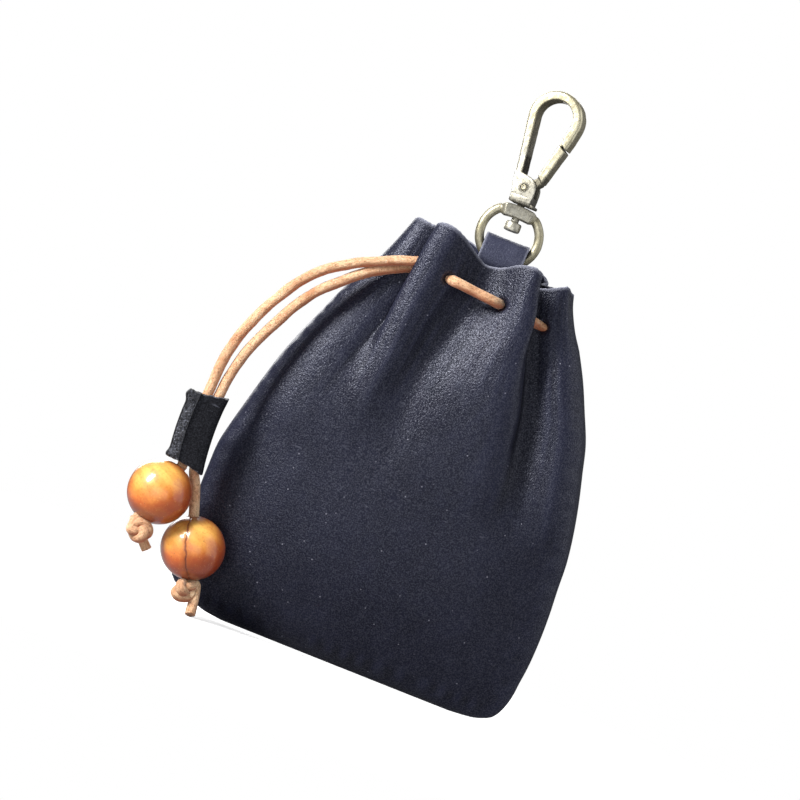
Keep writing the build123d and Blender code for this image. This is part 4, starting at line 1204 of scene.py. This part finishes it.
def bar_section(width, depth, inner_round, outer_round):
    """Rounded rectangle (distance from inner side, t) and how much each point faces in."""
    half = depth / 2
    near, far = inner_round, width - outer_round
    near_t, far_t = half - inner_round, half - outer_round
    points = np.vstack([
        np.linspace((near, -half), (far, -half), 6),
        arc((far, -far_t), outer_round, -PI / 2, 0, 7)[1:-1],
        np.linspace((width, -far_t), (width, far_t), 8),
        arc((far, far_t), outer_round, 0, PI / 2, 7)[1:-1],
        np.linspace((far, half), (near, half), 6),
        arc((near, near_t), inner_round, PI / 2, PI, 5)[1:-1],
        np.linspace((0, near_t), (0, -near_t), 8),
        arc((near, -near_t), inner_round, PI, PI * 1.5, 5)[1:-1]])
    return points, np.repeat([0, 0.6, 1, 0.6], [30, 3, 8, 3])


def make_bar(name, pairs, depth, inner_round, outer_round, shade, grey):
    """Cast bar whose inner and outer edges are given as pairs of (h, z) points."""
    rings, shades, greys = [], [], []
    for (inner, outer), thick in zip(pairs, np.broadcast_to(depth, len(pairs))):
        width = np.linalg.norm(outer - inner)
        section, facing = bar_section(width, thick, min(inner_round, width * 0.3),
                                      min(outer_round, width * 0.45))
        h, z = (inner + unit(outer - inner) * section[:, :1]).T
        t = section[:, 1]
        rings.append(hook_to_bag(h, t, z))
        shades.append(shade(h, z, facing, t))
        greys.append(np.broadcast_to(grey(h, z), h.shape))
    rings = np.array(rings)
    rings += cast_unevenness(rings, amount=0.035, frequency=0.9, seed=91)
    count, size = rings.shape[:2]
    verts, faces = rings.reshape(-1, 3), grid(count, size)
    all_shades, all_greys = list(shades), list(greys)
    for row, step in ((0, 1), (count - 1, -1)):
        centre = rings[row].mean(0)
        out = unit(centre - rings[row + step].mean(0))
        cap, cap_faces = domed_cap(rings[row], row * size + np.arange(size), len(verts), centre,
                                   out, steps=((0.90, 0.14), (0.5, 0.2)), tip=0.2)
        verts = np.vstack([verts, cap])
        faces += cap_faces
        all_shades.append(np.r_[np.full(2 * size, 0.95), 0.55])
        all_greys.append(np.r_[greys[row], greys[row], greys[row][0]])
    return make_brass(name, verts, faces, np.concatenate(all_shades), np.concatenate(all_greys))


def make_plate(name, outline, front, back, shade, grey, bevel):
    """Flat casting between t = front and back; its (h, z) outline runs anticlockwise."""
    corners = np.array(outline)
    edge = []
    for start, stop in zip(corners, np.roll(corners, -1, 0)):
        pieces = max(1, int(np.linalg.norm(stop - start) / 0.5))
        edge.append(np.linspace(start, stop, pieces, endpoint=False))
    edge = np.vstack(edge)
    along = np.roll(edge, -1, 0) - np.roll(edge, 1, 0)
    out = unit(np.stack([along[:, 1], -along[:, 0]], 1))
    profile = np.vstack([arc((-bevel, front + bevel), bevel, -PI / 2, 0, 5),
                         arc((-bevel, back - bevel), bevel, 0, PI / 2, 5)])
    inset = edge + out * profile[:, 0, None, None]
    h, z, t = inset[:, :, 0], inset[:, :, 1], profile[:, 1:]
    rows, size = h.shape
    return make_brass(name, hook_to_bag(h, t, z), grid(rows, size) + flat_caps(rows, size),
                      np.broadcast_to(shade(h, z, t), h.shape), np.full(h.shape, grey))


def crook_pair(inner_degrees, outer_degrees):
    """Points on the crook's inner and outer edges."""
    return [arc(CROOK_CENTRE, radius, math.radians(degrees), 0, 1)[0]
            for radius, degrees in ((CROOK_IN, inner_degrees), (CROOK_OUT, outer_degrees))]


def hook_shade(h, z, facing, t):
    """Painted shade: dark inside the loop, most of all low down and on the left."""
    plain = 0.10 + 0.10 * bell(z, 146, 3.0)
    deep = 0.62 + 0.38 * np.clip((150.2 - z) / 0.8, 0, 1)
    return plain * (1 - facing) + facing * deep * np.where(h < 0.5, 1.0, 0.35)


def hook_grey(h, z):
    return np.where(h < 1.5, 0.75 * (1 - smoothstep(150, 165, z)), 0.12)


def gate_shade(h, z, facing, t):
    return 0.16 + 0.33 * (z < 145.8) + 0.5 * facing + 0.30 * ((np.abs(t) < 2.0) & (facing < 0.5))


# (inner, outer) edge pairs: up the left side, round the crook, down to the nose
SHANK_TOP = ((-2.2, 144.2), (-4.42, 144.4))
hook_pairs = np.concatenate([
    np.linspace(((-2.2, 140.6), (-3.75, 140.8)), SHANK_TOP, 10),
    np.linspace(SHANK_TOP, crook_pair(184, 184), 44)[1:],
    [crook_pair(degrees, degrees) for degrees in np.linspace(184, -13, 72)[1:]],
    np.linspace(crook_pair(-16, -13), ((4.92, 157.6), (7.62, 157.5)), 8)[1:],
    np.linspace(((4.95, 157.4), (7.6, 157.3)), ((5.2, 157.2), (7.52, 157.1)), 3),
    np.linspace(((5.2, 157.1), (7.50, 157.0)), ((5.20, 155.80), (6.86, 154.62)), 9)])
register(make_bar("hook_frame_cast", hook_pairs, depth=6.0, inner_round=0.32, outer_round=1.0,
                  shade=hook_shade, grey=hook_grey), "hook", "hook_body")

EAR = [(-3.2, 138.7), (3.15, 138.7), (3.15, 140.6), (2.95, 141.9), (2.4, 143.1), (1.5, 143.95),
       (0.5, 144.4), (-0.6, 144.6), (-2.0, 144.9), (-4.45, 144.9), (-3.95, 141.6), (-3.35, 139.7)]
BASE_BLOCK = [(-3.2, 136.75), (-2.9, 136.55), (2.9, 136.55), (3.15, 136.75), (3.2, 139.3),
              (-3.25, 139.3)]
FOOT = [(1.2, 136.45), (3.95, 136.4), (4.1, 136.75), (4.0, 137.2), (3.0, 137.5), (1.2, 137.4)]
TONGUE = [(4.25, 155.0), (5.0, 155.0), (5.02, 157.0), (4.72, 157.1)]


def ear_shade(h, z, t):
    return np.where(np.abs(t) > 2.5, 0.12, 0.8)


def block_shade(h, z, t):
    return np.where((z < 137.4) | (h > 3.0), 0.85, 0.35)


# name, outline, front t, back t, shade, grey, bevel
for plate in (("hook_ear_front", EAR, -3.06, -1.88, ear_shade, 0.85, 0.28),
              ("hook_ear_rear", EAR, 1.88, 3.06, ear_shade, 0.85, 0.28),
              ("hook_base_block", BASE_BLOCK, -3.0, 3.0, block_shade, 0.85, 0.35),
              ("hook_foot", FOOT, -2.6, 2.6, lambda h, z, t: 0.75, 0.8, 0.25)):
    register(make_plate(*plate), "hook", "hook_body")

GATE_STEP = ((2.0, 144.9), (3.72, 143.3))
gate_pairs = np.concatenate([
    np.linspace(((-0.6, 142.5), (1.1, 140.6)), GATE_STEP, 12),
    np.linspace(GATE_STEP, ((4.50, 155.36), (6.64, 153.98)), 46)[1:]])
gate_depth = np.where(np.arange(len(gate_pairs)) > 13, 5.2, 3.5)
register(make_bar("hook_gate_cast", gate_pairs, gate_depth, inner_round=0.3, outer_round=0.45,
                  shade=gate_shade, grey=lambda h, z: 0.2), "gate", "hook_gate")
register(make_plate("hook_gate_tongue", TONGUE, front=-1.4, back=1.4,
                    shade=lambda h, z, t: 0.5, grey=0.3, bevel=0.12),
         "gate", "hook_gate")


def make_ring():
    """Wire ring whose top is a thicker, slightly arched bar."""
    centre_x, centre_z, radius, wire = 0.85, 127.4, 8.2, 1.3
    bar_half, sides = 5.1, 40
    bar_angle = math.asin(bar_half / radius)
    start = PI / 2 - bar_angle
    wire_path = arc((centre_x, centre_z), radius, start, start - (2 * PI - 2 * bar_angle), 190)
    x = np.linspace(wire_path[-1, 0], wire_path[0, 0], 60)[1:-1]
    share = (x - centre_x) / bar_half
    arched = wire_path[-1, 1] + 0.55 * (1 - share * share) - 0.05
    path = np.vstack([wire_path, np.stack([x, arched], 1)])
    # thickening eases into the wire on both sides
    thick = np.r_[np.zeros(190), smoothstep(0, 1.5, bar_half - np.abs(x - centre_x))][:, None]
    tangent = unit(np.roll(path, -1, 0) - np.roll(path, 1, 0))
    cos, sin = np.cos(around(sides)), np.sin(around(sides))
    power = 2 / (2 + 5.0 * thick)
    inward = (wire + 0.50 * thick) * np.copysign(np.abs(cos) ** power, cos)
    through = (wire + 1.15 * thick) * np.copysign(np.abs(sin) ** power, sin)
    verts = np.stack([path[:, :1] + tangent[:, 1:] * inward, through,
                      path[:, 1:] - tangent[:, :1] * inward], -1)
    verts += cast_unevenness(verts, amount=0.03, frequency=0.7, seed=95)
    # painted shade on the inner side of the wire; the thick bar a little darker
    shade = 0.30 + 0.16 * thick + 0.15 * np.maximum(0, -inward * (thick < 0.5)) / wire
    first = np.arange(sides)
    faces = grid(len(path), sides) + band((len(path) - 1) * sides + first, first)
    return make_brass("swivel_ring_cast", verts, faces, shade,
                      np.broadcast_to(0.15 + 0.65 * thick, shade.shape))


register(make_ring(), "ring", "swivel_ring")

# radius, z
POST_PROFILE = np.array([
    (0.9, 128.72), (1.6, 128.7), (1.95, 128.78), (2.2, 128.95), (2.3, 129.25), (2.32, 129.8),
    (2.3, 130.9), (2.2, 131.2), (2.0, 131.34), (1.3, 131.38), (1.12, 131.5), (1.1, 131.7),
    (1.1, 134.0), (1.1, 137.4), (0.8, 137.6)])


def make_post():
    rows, sides = len(POST_PROFILE), 56
    radius, z = POST_PROFILE[:, :1], POST_PROFILE[:, 1:]
    angle = around(sides)
    verts = np.stack(np.broadcast_arrays(HOOK_AXIS_X + radius * np.cos(angle),
                                         radius * np.sin(angle), z), -1)
    return make_brass("swivel_post_turned", verts, grid(rows, sides) + flat_caps(rows, sides),
                      shade=np.full(rows * sides, 0.25), grey=np.full(rows * sides, 0.8))


register(make_post(), "hook", "swivel_post")

PIN_H, PIN_Z = -0.3, 141.2
# radius, distance from the hook's middle plane, shade
RIVET_PROFILE = np.array([
    (0.02, 2.55, 0.0), (0.42, 2.6, 0.15), (0.52, 2.9, 1.0), (0.62, 3.28, 1.0), (0.8, 3.42, 1.0),
    (1.02, 3.40, 0.75), (1.18, 3.25, 0.35), (1.24, 3.05, 0.5), (1.34, 3.10, 0.8),
    (1.52, 3.10, 0.5), (1.62, 3.0, 0.35)])


def make_rivet(name, side):
    """Hollow rivet end: rolled rim, with painted shade in the bore and in a dark line round it."""
    rows, sides = len(RIVET_PROFILE), 48
    radius, angle = RIVET_PROFILE[:, :1], around(sides)
    verts = hook_to_bag(PIN_H + radius * np.cos(angle), side * RIVET_PROFILE[:, 1:2],
                        PIN_Z + radius * np.sin(angle))
    return make_brass(name, verts, grid(rows, sides) + flat_caps(rows, sides)[:1],
                      shade=np.repeat(RIVET_PROFILE[:, 2], sides),
                      grey=np.full(rows * sides, 0.9))


for tag, side in (("front", -1), ("rear", 1)):
    register(make_rivet("gate_pin_rivet_" + tag, side), "hook", None)

# ------------------------------------------------------------------ CAD pieces kept as they are
for node, material in (("gate_pin", BRASS), ("gate_spring", SPRING),
                       ("side_seam_thread", THREAD), ("loop_stitching", THREAD)):
    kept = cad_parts[node]
    kept.data.materials.clear()
    kept.data.materials.append(material)
    for polygon in kept.data.polygons:
        polygon.material_index = 0


# ------------------------------------------------------------------ floor (metres)
def floor_material():
    """Nearly white to the camera, grey to other rays, fading out towards the rim."""
    mat = Shader("floor_pale")
    place = mat.coords()
    distance = mat.fed("VectorMath", {0: place}, operation="LENGTH").outputs["Value"]
    cloud = mat.noise(place, scale=60)
    seen = mat.node("LightPath").outputs["Is Camera Ray"]
    mat.colour = mat.mix(seen, (0.34, 0.34, 0.35),
                         mat.mix(cloud, (0.90, 0.90, 0.90), (0.93, 0.93, 0.93)))
    mat.finish({"Roughness": 0.8, "Specular IOR Level": 0.15, "Emission Color": (1, 1, 1),
                "Emission Strength": mat.times(seen, 0.62)})
    fade = mat.ramp(distance, (0.075, 0), (0.20, 1), mode="EASE")
    clear = mat.node("BsdfTransparent").outputs[0]
    mat.feed(mat.output.inputs[0], mat.mix_shaders(fade, mat.bsdf.outputs[0], clear))
    return mat.material


def make_floor():
    sides, radii = 96, (0.06, 0.12, 0.18, 0.24)
    verts = [(0, 0, 0)]
    for radius in radii:
        verts += [(radius * math.cos(2 * PI * i / sides), radius * math.sin(2 * PI * i / sides), 0)
                  for i in range(sides)]
    faces = [(0, 1 + i, 1 + (i + 1) % sides) for i in range(sides)]
    for ring in range(len(radii) - 1):
        inner = range(1 + ring * sides, 1 + (ring + 1) * sides)
        outer = range(inner.stop, inner.stop + sides)
        faces += band(inner, outer, flip=True)
    mesh = bpy.data.meshes.new("floor_disc")
    mesh.from_pydata(verts, [], faces)
    mesh.materials.append(floor_material())
    disc = bpy.data.objects.new("floor_disc", mesh)
    bpy.context.scene.collection.objects.link(disc)
    disc.location = (0, 0.0, CAD_LO.z - 0.0009)


make_floor()


# ------------------------------------------------------------------ world, lights and camera
def make_world():
    """White to the camera; dim light from above and the left to everything else."""
    world = bpy.data.worlds.new("studio")
    bpy.context.scene.world = world
    world.use_nodes = True
    nodes = Nodes(world.node_tree)
    sky = nodes.node("TexCoord").outputs["Generated"]
    x, _, z = nodes.fed("SeparateXYZ", {0: sky}).outputs
    sideways = nodes.math("MULTIPLY_ADD", x, -0.16, 0.5)
    height = nodes.math("MULTIPLY_ADD", z, 0.25, sideways)
    tone = nodes.ramp(height, (0.15, (0.16, 0.16, 0.17)), (0.85, (0.85, 0.86, 0.88)))
    lighting = nodes.fed("Background", {0: tone, 1: 0.26}).outputs[0]
    backdrop = nodes.fed("Background", {0: (1, 1, 1), 1: 1.0}).outputs[0]
    seen = nodes.node("LightPath").outputs["Is Camera Ray"]
    nodes.fed("OutputWorld", {0: nodes.mix_shaders(seen, lighting, backdrop)})


make_world()

CENTRE = Vector(to_metres((-10.4, 0, 74.4)))    # what the lights and camera look at


def make_light(name, offset, width, height, power, colour):
    """Area light aimed at CENTRE; offset from it in mm, width and height in metres."""
    data = bpy.data.lights.new(name, "AREA")
    data.energy = power
    data.color = colour
    data.shape = "RECTANGLE"
    data.size = width
    data.size_y = height
    light = bpy.data.objects.new(name, data)
    bpy.context.scene.collection.objects.link(light)
    light.location = CENTRE + Vector(offset) / 1000
    light.rotation_mode = "QUATERNION"
    light.rotation_quaternion = (CENTRE - light.location).to_track_quat("-Z", "Y")


# name, offset, width, height, power in watts, colour
for light_row in (("key", (-520, -360, 340), 0.17, 0.34, 8.9, (1.0, 0.99, 0.97)),
                  ("front_fill", (20, -640, -160), 0.70, 0.70, 1.75, (0.96, 0.98, 1.0)),
                  ("rim_right", (520, -60, 240), 0.80, 0.80, 1.9, (0.97, 0.98, 1.0)),
                  ("back_fill", (-150, 560, 260), 0.5, 0.5, 3.0, (1, 1, 1)),
                  ("low_fill", (-320, -520, -260), 0.8, 0.8, 0.8, (0.97, 0.98, 1.0))):
    make_light(*light_row)

CAMERA_ROLL = math.radians(21.7)
CAMERA_DISTANCE = 0.85
SENSOR = 36                 # mm
VIEW_WIDTH = 0.218          # metres seen across, at VIEW_NEARER in front of CENTRE
VIEW_NEARER = 0.008


def make_camera():
    """Level camera in front of the bag, rolled about its view axis."""
    data = bpy.data.cameras.new("camera")
    camera = bpy.data.objects.new("camera", data)
    bpy.context.scene.collection.objects.link(camera)
    right = Vector((math.cos(CAMERA_ROLL), 0, math.sin(CAMERA_ROLL)))
    up = Vector((-math.sin(CAMERA_ROLL), 0, math.cos(CAMERA_ROLL)))
    forward = Vector((0, 1, 0))
    camera.rotation_mode = "QUATERNION"
    camera.rotation_quaternion = Matrix((right, up, -forward)).transposed().to_quaternion()
    camera.location = CENTRE - forward * CAMERA_DISTANCE
    data.sensor_width = SENSOR
    data.lens = SENSOR * (CAMERA_DISTANCE - VIEW_NEARER) / VIEW_WIDTH
    data.clip_start = 0.01
    data.clip_end = 20
    bpy.context.scene.camera = camera


make_camera()
bpy.context.scene.view_settings.view_transform = "Standard"
